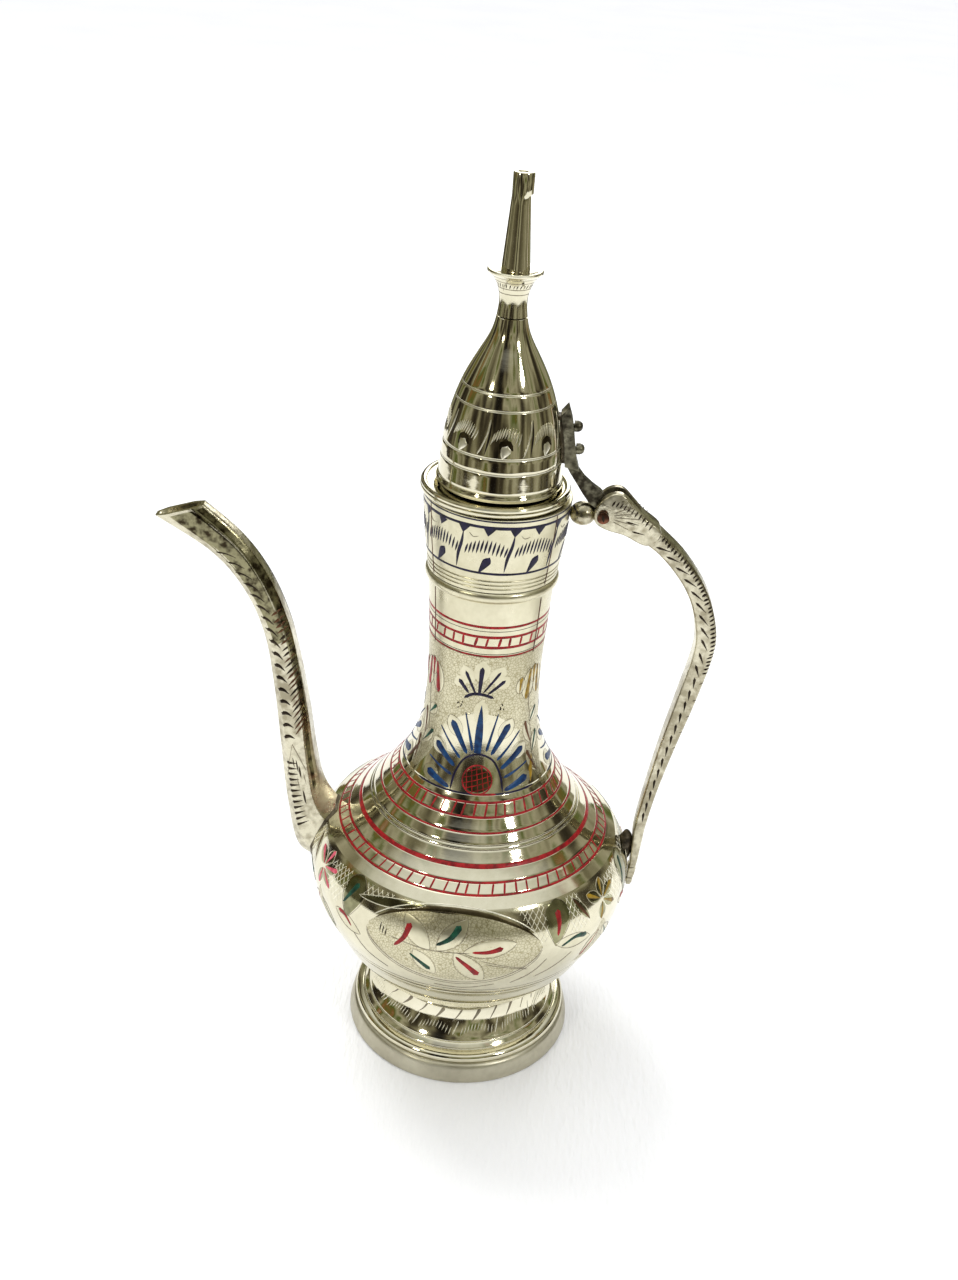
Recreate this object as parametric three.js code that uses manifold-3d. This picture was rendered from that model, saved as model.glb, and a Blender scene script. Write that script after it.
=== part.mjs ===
// Engraved, plated long-spouted coffee pot (dallah / ewer) with a hinged lid.
// Millimetres, +Z up. The pot stands on Z = 0, the spout points to -X and the handle to +X.
// Every turned piece is drawn about the pot's own axis, and the whole pot is then moved along X
// so that the origin is the centre of the footprint of its bounding box.
import * as THREE from "three";
import { mergeVertices } from "three/addons/utils/BufferGeometryUtils.js";
import Module from "manifold-3d";

const wasm = await Module();
wasm.setup();

// ---- driving dimensions ---------------------------------------------------------------
const FIT_GAP = 0.3;              // clearance between pieces that touch
const SHEET = 1.0;                // wall of the spun body, neck and mouth cup
const LID_SHEET = 0.8;            // wall of the spun lid
const BIG_SEGMENTS = 40;          // facets round the belly and the foot
const NECK_SEGMENTS = 32;         // facets round the neck and the lid
const COLLAR_SEGMENTS = 24;       // facets round the finial's collar
const SMALL_SEGMENTS = 16;        // facets round pins, rivets and the finial

const FOOT_RADIUS = 26.0;         // at the table
const FOOT_RING_WIDTH = 2.0;      // flat ring that the pot stands on
const FOOT_RING_TOP_Z = 4.4;
const FOOT_RING_TOP_RADIUS = 25.0;
const FOOT_RING_LEDGE = 0.6;      // how far the ring reaches in under the pedestal
const BELLY_BOTTOM_Z = 15.2;      // flat underside of the bowl
const BODY_SEAM_Z = 54.8;         // bowl to shoulder
const NECK_SEAM_Z = 79.0;         // shoulder to neck
const BEAD_BOTTOM_Z = 115.9;      // bead that covers the neck to cup joint
const BEAD_TOP_Z = 117.9;
const CUP_TOP_Z = 134.3;
const RIM_TOP_Z = 136.6;
const RIM_OUTER_RADIUS = 15.0;
const RIM_OFFSET_X = -0.6;        // the rim is fitted slightly towards the spout
const MOUTH_BORE_RADIUS = 11.6;

const LID_BASE_Z = 136.9;
const LID_TOP_Z = 169.6;
const FINIAL_DISC_Z = 178.6;
const FINIAL_TOP_Z = 196.0;
const STEM_RADIUS = 1.0;          // stem of the finial, through the collar and the lid
const STEM_HOLE_RADIUS = STEM_RADIUS + FIT_GAP;

const PIVOT_X = 21.0;             // hinge pin centre
const PIVOT_Z = 131.6;
const PIN_RADIUS = 0.75;
const PIN_HEAD_RADIUS = 1.5;
const PIN_HEAD_HEIGHT = 0.7;
const PIN_HOLE_RADIUS = PIN_RADIUS + FIT_GAP;
const EYE_RADIUS = 1.9;           // end of the lid arm round the pin
const HEAD_HALF_WIDTH = 2.7;      // handle head, across both cheeks
const SLOT_HALF_WIDTH = 1.15;     // slot between the cheeks
const WEB_HALF_WIDTH = SLOT_HALF_WIDTH - FIT_GAP;
const STRAP_HALF_WIDTH = 1.7;     // lid arm where it lies on the lid

const SPOUT_WALL = 0.8;
const SPOUT_HOLE_Z = 48.0;        // opening from the bowl into the spout
const SPOUT_HOLE_HALF_HEIGHT = 4.2;
const SPOUT_HOLE_HALF_WIDTH = 3.0;

const RIVET_SHANK_RADIUS = 0.5;
const RIVET_HEAD_RADIUS = 1.15;
const UPPER_RIVET_Z = 149.0;
const LOWER_RIVET_Z = 144.4;

// ---- materials ------------------------------------------------------------------------
const plate = { color: 0xd9d2bd, roughness: 0.16, metalness: 1.0 };
const satin = { color: 0xcfc7b0, roughness: 0.34, metalness: 1.0 };
const cast = { color: 0xcdc4a8, roughness: 0.3, metalness: 1.0 };
const copper = { color: 0x8a4b2c, roughness: 0.45, metalness: 1.0 };
const braze = { color: 0x5a4a3c, roughness: 0.6, metalness: 1.0 };

// ---- helpers --------------------------------------------------------------------------
const point = (x, y) => new THREE.Vector2(x, y);
const points = (pairs) => pairs.map(([x, y]) => point(x, y));

function smooth(pairs, steps) {
  return new THREE.SplineCurve(points(pairs)).getPoints(steps);
}

function named(name, geometry, look) {
  const mesh = new THREE.Mesh(geometry, new THREE.MeshStandardMaterial(look));
  mesh.name = name;
  return mesh;
}

// Turns an outline of (radius, height) points about +Z.
function turned(outline, segments) {
  return new THREE.LatheGeometry(outline, segments).rotateX(Math.PI / 2);
}

// The same outline moved inwards by the thickness of the sheet.
function inset(outline, thickness) {
  return outline.map((at, i) => {
    const before = outline[Math.max(i - 1, 0)];
    const after = outline[Math.min(i + 1, outline.length - 1)];
    const along = after.clone().sub(before).normalize();
    return point(at.x - along.y * thickness, at.y + along.x * thickness);
  });
}

// The inner face of a sheet, with every second point of the outer one, cut level at the
// given heights.
function innerFace(outer, thickness, bottom, top) {
  const face = inset(outer, thickness);
  const kept = face.filter((at, i) => i % 2 === 1 && at.y > bottom + 0.4 && at.y < top - 0.4);
  return [point(face[0].x, bottom), ...kept, point(face[face.length - 1].x, top)];
}

// An open-ended spun shell: the outer face going up and the inner face coming down.
function spunShell(outer, thickness, segments) {
  const inner = innerFace(outer, thickness, outer[0].y, outer[outer.length - 1].y);
  return turned([...outer, ...inner.reverse(), outer[0].clone()], segments);
}

// A plate with the given side view in X and Z, centred on Y = 0.
function sidePlate(pairs, halfWidth) {
  const options = { depth: 2 * halfWidth, bevelEnabled: false };
  const plateGeometry = new THREE.ExtrudeGeometry(new THREE.Shape(points(pairs)), options);
  return plateGeometry.rotateX(Math.PI / 2).translate(0, halfWidth, 0);
}

function pinAlongY(radius, halfLength, x, z) {
  return new THREE.CylinderGeometry(radius, radius, 2 * halfLength, SMALL_SEGMENTS).translate(x, 0, z);
}

function pinAlongX(radius, fromX, toX, z) {
  const rod = new THREE.CylinderGeometry(radius, radius, toX - fromX, SMALL_SEGMENTS);
  return rod.rotateZ(Math.PI / 2).translate((fromX + toX) / 2, 0, z);
}

// A bar or tube wall lofted between two side-view edges. Its section is a flat-sided
// octagon: "flat" is the share of each side that the chamfers leave.
function loftSections(lower, upper, halfWidths, flat, shrink) {
  const sections = [];
  const steps = lower.length;
  for (let i = 0; i < steps; i += 1) {
    const across = upper[i].clone().sub(lower[i]);
    const halfDepth = across.length() / 2 - shrink;
    const halfWidth = halfWidths[i] - shrink;
    const middle = lower[i].clone().add(upper[i]).multiplyScalar(0.5);
    across.normalize();
    const corners = [
      [-1, -flat], [-1, flat], [-flat, 1], [flat, 1], [1, flat], [1, -flat], [flat, -1], [-flat, -1],
    ];
    sections.push(corners.map(([depthShare, widthShare]) => new THREE.Vector3(
      middle.x + across.x * depthShare * halfDepth,
      widthShare * halfWidth,
      middle.y + across.y * depthShare * halfDepth,
    )));
  }
  return sections;
}

// Closes a run of sections into one solid, with a flat cap at each end.
function solidFrom(sections) {
  const sides = sections[0].length;
  const positions = sections.flat().flatMap((corner) => [corner.x, corner.y, corner.z]);
  const index = [];
  for (let i = 0; i + 1 < sections.length; i += 1) {
    for (let j = 0; j < sides; j += 1) {
      const a = i * sides + j;
      const b = i * sides + ((j + 1) % sides);
      index.push(a, b, b + sides, a, b + sides, a + sides);
    }
  }
  const last = (sections.length - 1) * sides;
  for (let j = 1; j + 1 < sides; j += 1) {
    index.push(0, j + 1, j);
    index.push(last, last + j, last + j + 1);
  }
  const geometry = new THREE.BufferGeometry();
  geometry.setAttribute("position", new THREE.Float32BufferAttribute(positions, 3));
  geometry.setIndex(index);
  return geometry;
}

// three.js geometry to a manifold-3d solid, and back.
function solidOf(positions, triangles) {
  return new wasm.Manifold(new wasm.Mesh({
    numProp: 3,
    vertProperties: new Float32Array(positions),
    triVerts: new Uint32Array(triangles.flat()),
  }));
}

function asSolid(geometry) {
  const bare = geometry.clone();
  bare.deleteAttribute("normal");
  bare.deleteAttribute("uv");
  const merged = mergeVertices(bare);
  const positions = merged.attributes.position.array;
  const triangles = [];
  for (let i = 0; i < merged.index.count; i += 3) {
    const [a, b, c] = merged.index.array.slice(i, i + 3);
    if (a !== b && b !== c && c !== a) triangles.push([a, b, c]);
  }
  const solid = solidOf(positions, triangles);
  return solid.volume() > 0 ? solid : solidOf(positions, triangles.map(([a, b, c]) => [a, c, b]));
}

function asGeometry(solid) {
  const mesh = solid.getMesh();
  const geometry = new THREE.BufferGeometry();
  geometry.setAttribute("position", new THREE.BufferAttribute(mesh.vertProperties, 3));
  geometry.setIndex(new THREE.BufferAttribute(mesh.triVerts, 1));
  return geometry;
}

// ---- foot -----------------------------------------------------------------------------
// Turned ring that stands on the table, with a rolled bead on its top edge.
function makeFootRing() {
  const inner = FOOT_RADIUS - FOOT_RING_WIDTH;
  return turned(points([
    [inner, 0], [FOOT_RADIUS, 0], [25.85, 1.4], [FOOT_RING_TOP_RADIUS, FOOT_RING_TOP_Z],
    [inner - FOOT_RING_LEDGE, FOOT_RING_TOP_Z], [inner, 3.0], [inner, 0],
  ]), BIG_SEGMENTS);
}

// Spun pedestal that stands on the ring and carries the bowl.
function makeFoot() {
  const seat = FOOT_RING_TOP_Z + FIT_GAP;
  const bead = points([[22.6, seat], [24.4, seat], [24.8, 5.4], [24.7, 6.1], [24.1, 6.7]]);
  const flare = smooth([[23.2, 6.9], [21.0, 9.0], [19.2, 12.0], [18.0, 15.6]], 6);
  const inside = smooth([[16.9, 15.25], [17.8, 11.6], [20.2, 7.6], [22.4, 5.6]], 5);
  return turned([...bead, ...flare, ...inside, bead[0].clone()], BIG_SEGMENTS);
}

// ---- body -----------------------------------------------------------------------------
const BOWL_SIDE = [
  [15.5, BELLY_BOTTOM_Z], [18.6, 16.2], [24.9, 22.0], [30.8, 31.0], [34.3, 38.2],
  [35.65, 45.2], [34.9, 50.2], [32.2, BODY_SEAM_Z],
];

// The outside of the bowl, grown by "clearance" and closed on the axis: used to cut
// whatever is fitted against the bowl.
function bowlCutter(clearance) {
  const side = inset(smooth([...BOWL_SIDE, [29.7, 56.7], [25.3, 60.6], [21.0, 65.7]], 40), -clearance);
  const outline = [point(0, side[0].y), ...side, point(0, side[side.length - 1].y)];
  return asSolid(turned(outline, BIG_SEGMENTS));
}

function makeBowl() {
  const outer = smooth(BOWL_SIDE, 14);
  const floor = BELLY_BOTTOM_Z + SHEET;
  const inner = innerFace(outer, SHEET, floor, BODY_SEAM_Z).slice(1);
  const outline = [point(0, BELLY_BOTTOM_Z), ...outer, ...inner.reverse()];
  outline.push(point(16.0, floor), point(0, floor));
  const bowl = asSolid(turned(outline, BIG_SEGMENTS));
  const hole = new THREE.CylinderGeometry(1, 1, 8, SMALL_SEGMENTS).rotateZ(Math.PI / 2);
  hole.scale(1, SPOUT_HOLE_HALF_WIDTH, SPOUT_HOLE_HALF_HEIGHT).translate(-35, 0, SPOUT_HOLE_Z);
  return asGeometry(bowl.subtract(asSolid(hole)));
}

function makeShoulder() {
  const outer = smooth([
    [31.9, BODY_SEAM_Z + FIT_GAP], [29.7, 56.7], [25.3, 60.6], [21.0, 65.7], [17.5, 70.4],
    [14.9, 75.0], [13.4, NECK_SEAM_Z],
  ], 12);
  return spunShell(outer, SHEET, BIG_SEGMENTS);
}

// ---- neck and mouth -------------------------------------------------------------------
function makeNeck() {
  const outer = smooth([
    [13.35, NECK_SEAM_Z + FIT_GAP], [12.4, 83.6], [12.0, 90.0], [12.0, 98.0], [12.3, 105.0],
    [12.9, BEAD_BOTTOM_Z - FIT_GAP],
  ], 10);
  return spunShell(outer, SHEET, NECK_SEGMENTS);
}

function makeNeckBead() {
  const outline = points([
    [11.9, BEAD_BOTTOM_Z], [13.1, BEAD_BOTTOM_Z], [13.55, 116.3], [13.75, 116.9], [13.55, 117.5],
    [13.1, BEAD_TOP_Z], [11.9, BEAD_TOP_Z], [11.9, BEAD_BOTTOM_Z],
  ]);
  return turned(outline, NECK_SEGMENTS);
}

function makeMouthCup() {
  const outer = smooth([
    [13.35, BEAD_TOP_Z + FIT_GAP], [13.8, 122.0], [14.35, 127.0], [14.9, CUP_TOP_Z],
  ], 6);
  return spunShell(outer, SHEET, NECK_SEGMENTS);
}

function makeMouthRim() {
  const seat = CUP_TOP_Z + FIT_GAP;
  const disc = asSolid(turned(points([
    [0, seat], [14.6, seat], [RIM_OUTER_RADIUS, 135.2], [RIM_OUTER_RADIUS, 136.0],
    [14.9, RIM_TOP_Z], [14.0, RIM_TOP_Z], [13.4, 136.2], [0, 136.2],
  ]), NECK_SEGMENTS).translate(RIM_OFFSET_X, 0, 0));
  const bore = new THREE.CylinderGeometry(MOUTH_BORE_RADIUS, MOUTH_BORE_RADIUS, 8, NECK_SEGMENTS);
  bore.rotateX(Math.PI / 2).translate(0, 0, RIM_TOP_Z);
  return asGeometry(disc.subtract(asSolid(bore)));
}

// ---- spout ----------------------------------------------------------------------------
// Two side-view edges: the outside of the swan neck, and the side that faces the pot.
const SPOUT_STEPS = 24;
const SPOUT_OUTSIDE = [
  [-31.5, 42.5], [-38.3, 45.6], [-41.0, 57.0], [-42.7, 72.0], [-44.2, 86.0], [-46.3, 98.6],
  [-50.4, 108.5], [-57.1, 116.5], [-68.4, 123.6],
];
const SPOUT_INSIDE = [
  [-27.5, 52.5], [-33.1, 60.4], [-35.2, 69.0], [-36.8, 80.5], [-38.7, 91.5], [-41.1, 101.7],
  [-45.2, 111.8], [-50.8, 120.0], [-58.5, 126.8],
];

function spoutHalfWidths(steps) {
  const taper = new THREE.SplineCurve(points([[0, 4.9], [0.25, 4.3], [0.55, 3.4], [0.8, 3.1], [1, 3.5]]));
  return Array.from({ length: steps + 1 }, (_, i) => taper.getPoint(i / steps).y);
}

function makeSpout() {
  const outside = smooth(SPOUT_OUTSIDE, SPOUT_STEPS);
  const inside = smooth(SPOUT_INSIDE, SPOUT_STEPS);
  const widths = spoutHalfWidths(SPOUT_STEPS);
  const skin = asSolid(solidFrom(loftSections(outside, inside, widths, 0.55, 0)));
  const channelSections = loftSections(outside, inside, widths, 0.55, SPOUT_WALL);
  // The channel runs out past both ends so that the cut is clean.
  const pastRoot = channelSections[0].map((corner) => corner.clone().add(new THREE.Vector3(4, 0, -1)));
  const pastMouth = channelSections[SPOUT_STEPS].map((corner) => corner.clone().add(new THREE.Vector3(-1, 0, 3)));
  const channel = asSolid(solidFrom([pastRoot, ...channelSections, pastMouth]));
  return asGeometry(skin.subtract(channel).subtract(bowlCutter(FIT_GAP)));
}

// ---- handle ---------------------------------------------------------------------------
const HANDLE_STEPS = 30;
const HANDLE_OUTSIDE = [
  [27.2, 133.6], [33.0, 128.8], [38.8, 123.5], [43.8, 116.6], [46.7, 108.8], [47.1, 102.0],
  [44.9, 90.2], [42.3, 79.0], [39.9, 67.5], [38.5, 58.0], [38.1, 52.5], [37.7, 47.0], [36.9, 40.8],
];
const HANDLE_INSIDE = [
  [24.6, 128.0], [30.9, 125.6], [36.1, 120.9], [40.3, 114.8], [42.6, 107.6], [42.8, 101.4],
  [40.9, 90.6], [38.8, 78.9], [37.1, 67.3], [36.0, 58.2], [35.9, 53.0], [36.05, 47.0], [35.8, 41.0],
];
const HEAD_OUTLINE = [
  [19.2, 131.6], [19.4, 130.5], [20.4, 129.4], [22.6, 128.5], [25.6, 127.8], [30.4, 125.9],
  [32.9, 128.9], [29.2, 132.0], [27.2, 134.0], [25.2, 136.0], [23.6, 136.6], [21.8, 136.1],
  [20.2, 134.6], [19.4, 132.9],
];
// The slot for the lid arm: open to the left, to the top, and back as far as the arm swings.
const SLOT_OUTLINE = [
  [17.0, 129.3], [23.2, 129.3], [25.9, 130.6], [30.5, 134.0], [30.5, 140.0], [17.0, 140.0],
];

function makeHandle() {
  const outside = smooth(HANDLE_OUTSIDE, HANDLE_STEPS);
  const inside = smooth(HANDLE_INSIDE, HANDLE_STEPS);
  const taper = new THREE.SplineCurve(points([[0, 2.6], [0.5, 2.4], [0.85, 2.0], [1, 1.3]]));
  const widths = outside.map((_, i) => taper.getPoint(i / HANDLE_STEPS).y);
  const strap = asSolid(solidFrom(loftSections(outside, inside, widths, 0.82, 0)));
  const head = asSolid(sidePlate(HEAD_OUTLINE, HEAD_HALF_WIDTH));
  const slot = asSolid(sidePlate(SLOT_OUTLINE, SLOT_HALF_WIDTH));
  const pinHole = asSolid(pinAlongY(PIN_HOLE_RADIUS, HEAD_HALF_WIDTH + 1, PIVOT_X, PIVOT_Z));
  return asGeometry(strap.add(head).subtract(slot).subtract(pinHole));
}

// Short brazed wedge that holds the handle's tail to the bowl.
function makeHandleStub() {
  const wedge = asSolid(sidePlate([[34.0, 49.4], [35.6, 49.4], [35.55, 53.6], [32.0, 53.6]], 1.5));
  return asGeometry(wedge.subtract(bowlCutter(FIT_GAP)));
}

// Rounded lug between the mouth cup and the cheeks of the handle.
function makeHingeLug() {
  return new THREE.SphereGeometry(1, SMALL_SEGMENTS, 10).scale(1.75, 2.3, 2.1).translate(17.1, 0, 130.9);
}

// Pin with both ends peened over the cheeks.
function makeHingePin() {
  const cheek = HEAD_HALF_WIDTH + FIT_GAP;
  const end = cheek + PIN_HEAD_HEIGHT;
  const half = [[0, -end], [PIN_HEAD_RADIUS * 0.7, -end], [PIN_HEAD_RADIUS, -cheek - 0.3],
    [PIN_HEAD_RADIUS, -cheek], [PIN_RADIUS, -cheek]];
  const outline = [...half, ...half.map(([radius, along]) => [radius, -along]).reverse()];
  return new THREE.LatheGeometry(points(outline), SMALL_SEGMENTS).translate(PIVOT_X, 0, PIVOT_Z);
}

// ---- lid ------------------------------------------------------------------------------
const LID_SIDE = [
  [12.5, LID_BASE_Z], [12.4, 137.8], [12.05, 142.0], [11.7, 145.2], [11.1, 148.8], [10.2, 152.6],
  [8.75, 156.9], [6.8, 161.0], [4.65, 164.9], [3.6, 167.3], [3.05, LID_TOP_Z],
];

function rivetHoles() {
  return [UPPER_RIVET_Z, LOWER_RIVET_Z].map(
    (z) => asSolid(pinAlongX(RIVET_SHANK_RADIUS + FIT_GAP, 8, 17, z)),
  );
}

function makeLidDome() {
  const outer = smooth(LID_SIDE, 16);
  const inner = innerFace(outer, LID_SHEET, LID_BASE_Z, LID_TOP_Z - LID_SHEET);
  const crown = [LID_TOP_Z, LID_TOP_Z - LID_SHEET].map((z) => point(STEM_HOLE_RADIUS, z));
  const outline = [...outer, ...crown, ...inner.reverse(), outer[0].clone()];
  const dome = asSolid(turned(outline, NECK_SEGMENTS));
  const [upperHole, lowerHole] = rivetHoles();
  return asGeometry(dome.subtract(upperHole).subtract(lowerHole));
}

// Tapered ring under the lid that drops into the mouth and swings clear of it.
function makeLidLip() {
  const outline = points([
    [9.1, 132.7], [9.9, 132.7], [10.9, 135.9], [11.25, LID_BASE_Z + 0.2], [11.25, 138.6],
    [10.3, 138.6], [10.3, 136.0], [9.1, 132.7],
  ]);
  return turned(outline, NECK_SEGMENTS);
}

function makeFinialCollar() {
  const flare = smooth([[3.0, LID_TOP_Z + FIT_GAP], [2.78, 171.8], [2.82, 173.4], [3.1, 174.8],
    [3.6, 176.1], [4.5, 177.4], [5.3, 178.0]], 12);
  const top = points([[5.35, 178.25], [5.0, FINIAL_DISC_Z], [STEM_HOLE_RADIUS, FINIAL_DISC_Z]]);
  const outline = [...flare, ...top, point(STEM_HOLE_RADIUS, LID_TOP_Z + FIT_GAP), flare[0].clone()];
  return turned(outline, COLLAR_SEGMENTS);
}

// Slender rod; its stem runs down through the collar and is peened inside the lid.
function makeFinialRod() {
  const peened = LID_TOP_Z - LID_SHEET - FIT_GAP;
  const seat = FINIAL_DISC_Z + FIT_GAP;
  return turned(points([
    [0, peened - 0.8], [1.6, peened - 0.8], [1.9, peened], [STEM_RADIUS, peened], [STEM_RADIUS, seat], [2.75, seat],
    [2.4, 183.0], [1.8, 191.9], [1.95, 192.3], [1.95, 195.7], [1.7, FINIAL_TOP_Z], [0, FINIAL_TOP_Z],
  ]), SMALL_SEGMENTS);
}

// ---- lid arm --------------------------------------------------------------------------
const ARM_STRAP = [
  [12.5, 141.0], [15.4, 140.4], [14.7, 142.6], [14.2, 145.4], [13.7, 148.4], [13.2, 150.6],
  [12.3, 153.2], [10.95, 151.5], [11.5, 148.8], [12.05, 145.4], [12.35, 142.4],
];
const ARM_WEB = [
  [12.85, 141.0], [13.7, 139.6], [15.1, 137.6], [16.6, 135.4], [18.0, 133.6], [19.4, 132.6],
  [21.0, 130.4], [22.7, 132.2], [21.9, 134.4], [20.2, 136.2], [18.4, 137.4], [16.7, 138.8],
  [15.4, 140.4], [14.7, 142.6], [13.6, 142.6],
];

function makeHingeArm() {
  const strap = asSolid(sidePlate(ARM_STRAP, STRAP_HALF_WIDTH));
  const web = asSolid(sidePlate(ARM_WEB, WEB_HALF_WIDTH));
  const eye = asSolid(pinAlongY(EYE_RADIUS, WEB_HALF_WIDTH, PIVOT_X, PIVOT_Z));
  const pinHole = asSolid(pinAlongY(PIN_HOLE_RADIUS, HEAD_HALF_WIDTH, PIVOT_X, PIVOT_Z));
  const [upperHole, lowerHole] = rivetHoles();
  return asGeometry(strap.add(web).add(eye).subtract(pinHole).subtract(upperHole).subtract(lowerHole));
}

// Round-headed rivet through the arm and the lid's wall, peened inside the lid.
function makeArmRivet(armFaceX, lidInsideX, z) {
  const headSeat = armFaceX + FIT_GAP;
  const tailSeat = lidInsideX - FIT_GAP;
  const outline = points([
    [0, tailSeat - 0.5], [0.9, tailSeat - 0.5], [1.0, tailSeat], [RIVET_SHANK_RADIUS, tailSeat],
    [RIVET_SHANK_RADIUS, headSeat], [RIVET_HEAD_RADIUS, headSeat], [RIVET_HEAD_RADIUS, headSeat + 0.5],
    [0.8, headSeat + 1.1], [0, headSeat + 1.35],
  ]);
  return new THREE.LatheGeometry(outline, 12).rotateZ(-Math.PI / 2).translate(0, 0, z);
}

// ---- assembly -------------------------------------------------------------------------
const pot = new THREE.Group();
pot.add(
  named("foot_ring", makeFootRing(), satin),
  named("foot", makeFoot(), plate),
  named("bowl", makeBowl(), plate),
  named("shoulder", makeShoulder(), plate),
  named("neck", makeNeck(), plate),
  named("neck_bead", makeNeckBead(), plate),
  named("mouth_cup", makeMouthCup(), plate),
  named("mouth_rim", makeMouthRim(), plate),
  named("spout", makeSpout(), cast),
  named("handle", makeHandle(), cast),
  named("handle_stub", makeHandleStub(), braze),
  named("hinge_lug", makeHingeLug(), cast),
  named("hinge_pin", makeHingePin(), copper),
  named("lid_dome", makeLidDome(), plate),
  named("lid_lip", makeLidLip(), plate),
  named("finial_collar", makeFinialCollar(), plate),
  named("finial_rod", makeFinialRod(), plate),
  named("hinge_arm", makeHingeArm(), cast),
  named("arm_rivet_upper", makeArmRivet(13.75, 10.3, UPPER_RIVET_Z), copper),
  named("arm_rivet_lower", makeArmRivet(14.5, 11.05, LOWER_RIVET_Z), copper),
);

const extent = new THREE.Box3().setFromObject(pot);
pot.position.x = -(extent.min.x + extent.max.x) / 2;

export default pot;
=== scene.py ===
"""Engraved and enamelled long-spouted coffee pot: the looks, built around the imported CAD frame.

Shapes are in millimetres in the pot's own frame, whose axis is the axis of the foot, and become
metres in the row frame when a mesh is made. Azimuths are degrees round the pot, from 0 at the
front (-Y), growing towards the handle (+X).
"""
import random
from math import cos, hypot, pi, radians, sin

import bmesh
import bpy
import numpy as np
from mathutils import Matrix, Vector
from mathutils.bvhtree import BVHTree


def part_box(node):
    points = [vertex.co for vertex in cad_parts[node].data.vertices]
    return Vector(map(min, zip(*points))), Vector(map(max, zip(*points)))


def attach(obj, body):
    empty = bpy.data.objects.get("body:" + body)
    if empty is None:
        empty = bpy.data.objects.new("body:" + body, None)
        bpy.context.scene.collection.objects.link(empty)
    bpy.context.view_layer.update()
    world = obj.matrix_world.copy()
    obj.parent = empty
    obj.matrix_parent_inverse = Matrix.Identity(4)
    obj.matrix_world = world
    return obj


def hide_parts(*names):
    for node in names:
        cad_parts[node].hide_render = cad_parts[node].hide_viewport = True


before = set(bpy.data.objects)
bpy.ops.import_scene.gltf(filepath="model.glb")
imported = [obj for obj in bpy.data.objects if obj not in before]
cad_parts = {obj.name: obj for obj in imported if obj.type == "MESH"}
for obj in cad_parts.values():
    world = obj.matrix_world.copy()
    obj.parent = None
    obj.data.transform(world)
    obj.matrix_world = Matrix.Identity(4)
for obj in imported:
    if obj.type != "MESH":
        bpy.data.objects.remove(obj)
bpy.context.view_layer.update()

MM = 0.001
foot_low, foot_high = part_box("foot")
AXIS_X = (foot_low.x + foot_high.x) / 2      # metres, in the row frame


# ---- camera, floor and light --------------------------------------------------------------
CAMERA_PLACE = (AXIS_X, -0.27188, 0.25010)
CAMERA_PITCH = radians(28.85)
CAMERA_YAW = radians(-0.33)
CAMERA_ROLL = radians(-4.35)
CAMERA_LENS = 41.79
SENSOR = 36.0


def make_camera():
    forward = Vector((sin(CAMERA_YAW) * cos(CAMERA_PITCH), cos(CAMERA_YAW) * cos(CAMERA_PITCH),
                      -sin(CAMERA_PITCH)))
    right = Vector((cos(CAMERA_YAW), -sin(CAMERA_YAW), 0))
    down = forward.cross(right)
    turned_right = cos(CAMERA_ROLL) * right + sin(CAMERA_ROLL) * down
    turned_down = -sin(CAMERA_ROLL) * right + cos(CAMERA_ROLL) * down
    turn = Matrix((turned_right, -turned_down, -forward)).transposed()
    data = bpy.data.cameras.new("camera")
    data.lens = CAMERA_LENS
    data.sensor_width = SENSOR
    data.sensor_fit = "AUTO"
    data.clip_start, data.clip_end = 0.01, 20
    camera = bpy.data.objects.new("camera", data)
    camera.matrix_world = Matrix.Translation(CAMERA_PLACE) @ turn.to_4x4()
    bpy.context.scene.collection.objects.link(camera)
    bpy.context.scene.camera = camera


def new_material(name):
    material = bpy.data.materials.new(name)
    material.use_nodes = True
    tree = material.node_tree
    return material, tree, tree.nodes["Principled BSDF"]


def stage_plane(name, size, height, material):
    mesh = bpy.data.meshes.new(name)
    half = size / 2
    corners = [(-half, -half, height), (half, -half, height), (half, half, height), (-half, half, height)]
    mesh.from_pydata(corners, [], [(0, 1, 2, 3)])
    mesh.materials.append(material)
    plane = bpy.data.objects.new(name, mesh)
    bpy.context.scene.collection.objects.link(plane)
    return plane


def make_floor():
    """A pale cloth under the pot. Mirror finishes see it only as far as the cloth would reach."""
    material, tree, shader = new_material("pale_cloth")
    shader.inputs["Roughness"].default_value = 0.9
    shader.inputs["Specular IOR Level"].default_value = 0.1
    tint = noise(tree, 9.0, 3.0)
    ramp(tree, tint, [(0.3, (0.92, 0.925, 0.94)), (0.7, (0.95, 0.955, 0.96))], shader.inputs["Base Color"])
    weave = noise(tree, 900.0, 2.0, stretch=(1, 0.25, 1))
    bump(tree, shader, weave, 0.5, 0.0006)
    wide = stage_plane("floor", 12.0, -0.0001, material)
    wide.visible_glossy = False
    near = stage_plane("floor_seen_in_the_metal", 0.86, 0.0, material)
    near.visible_camera = False
    near.visible_diffuse = False
    near.visible_shadow = False


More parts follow.
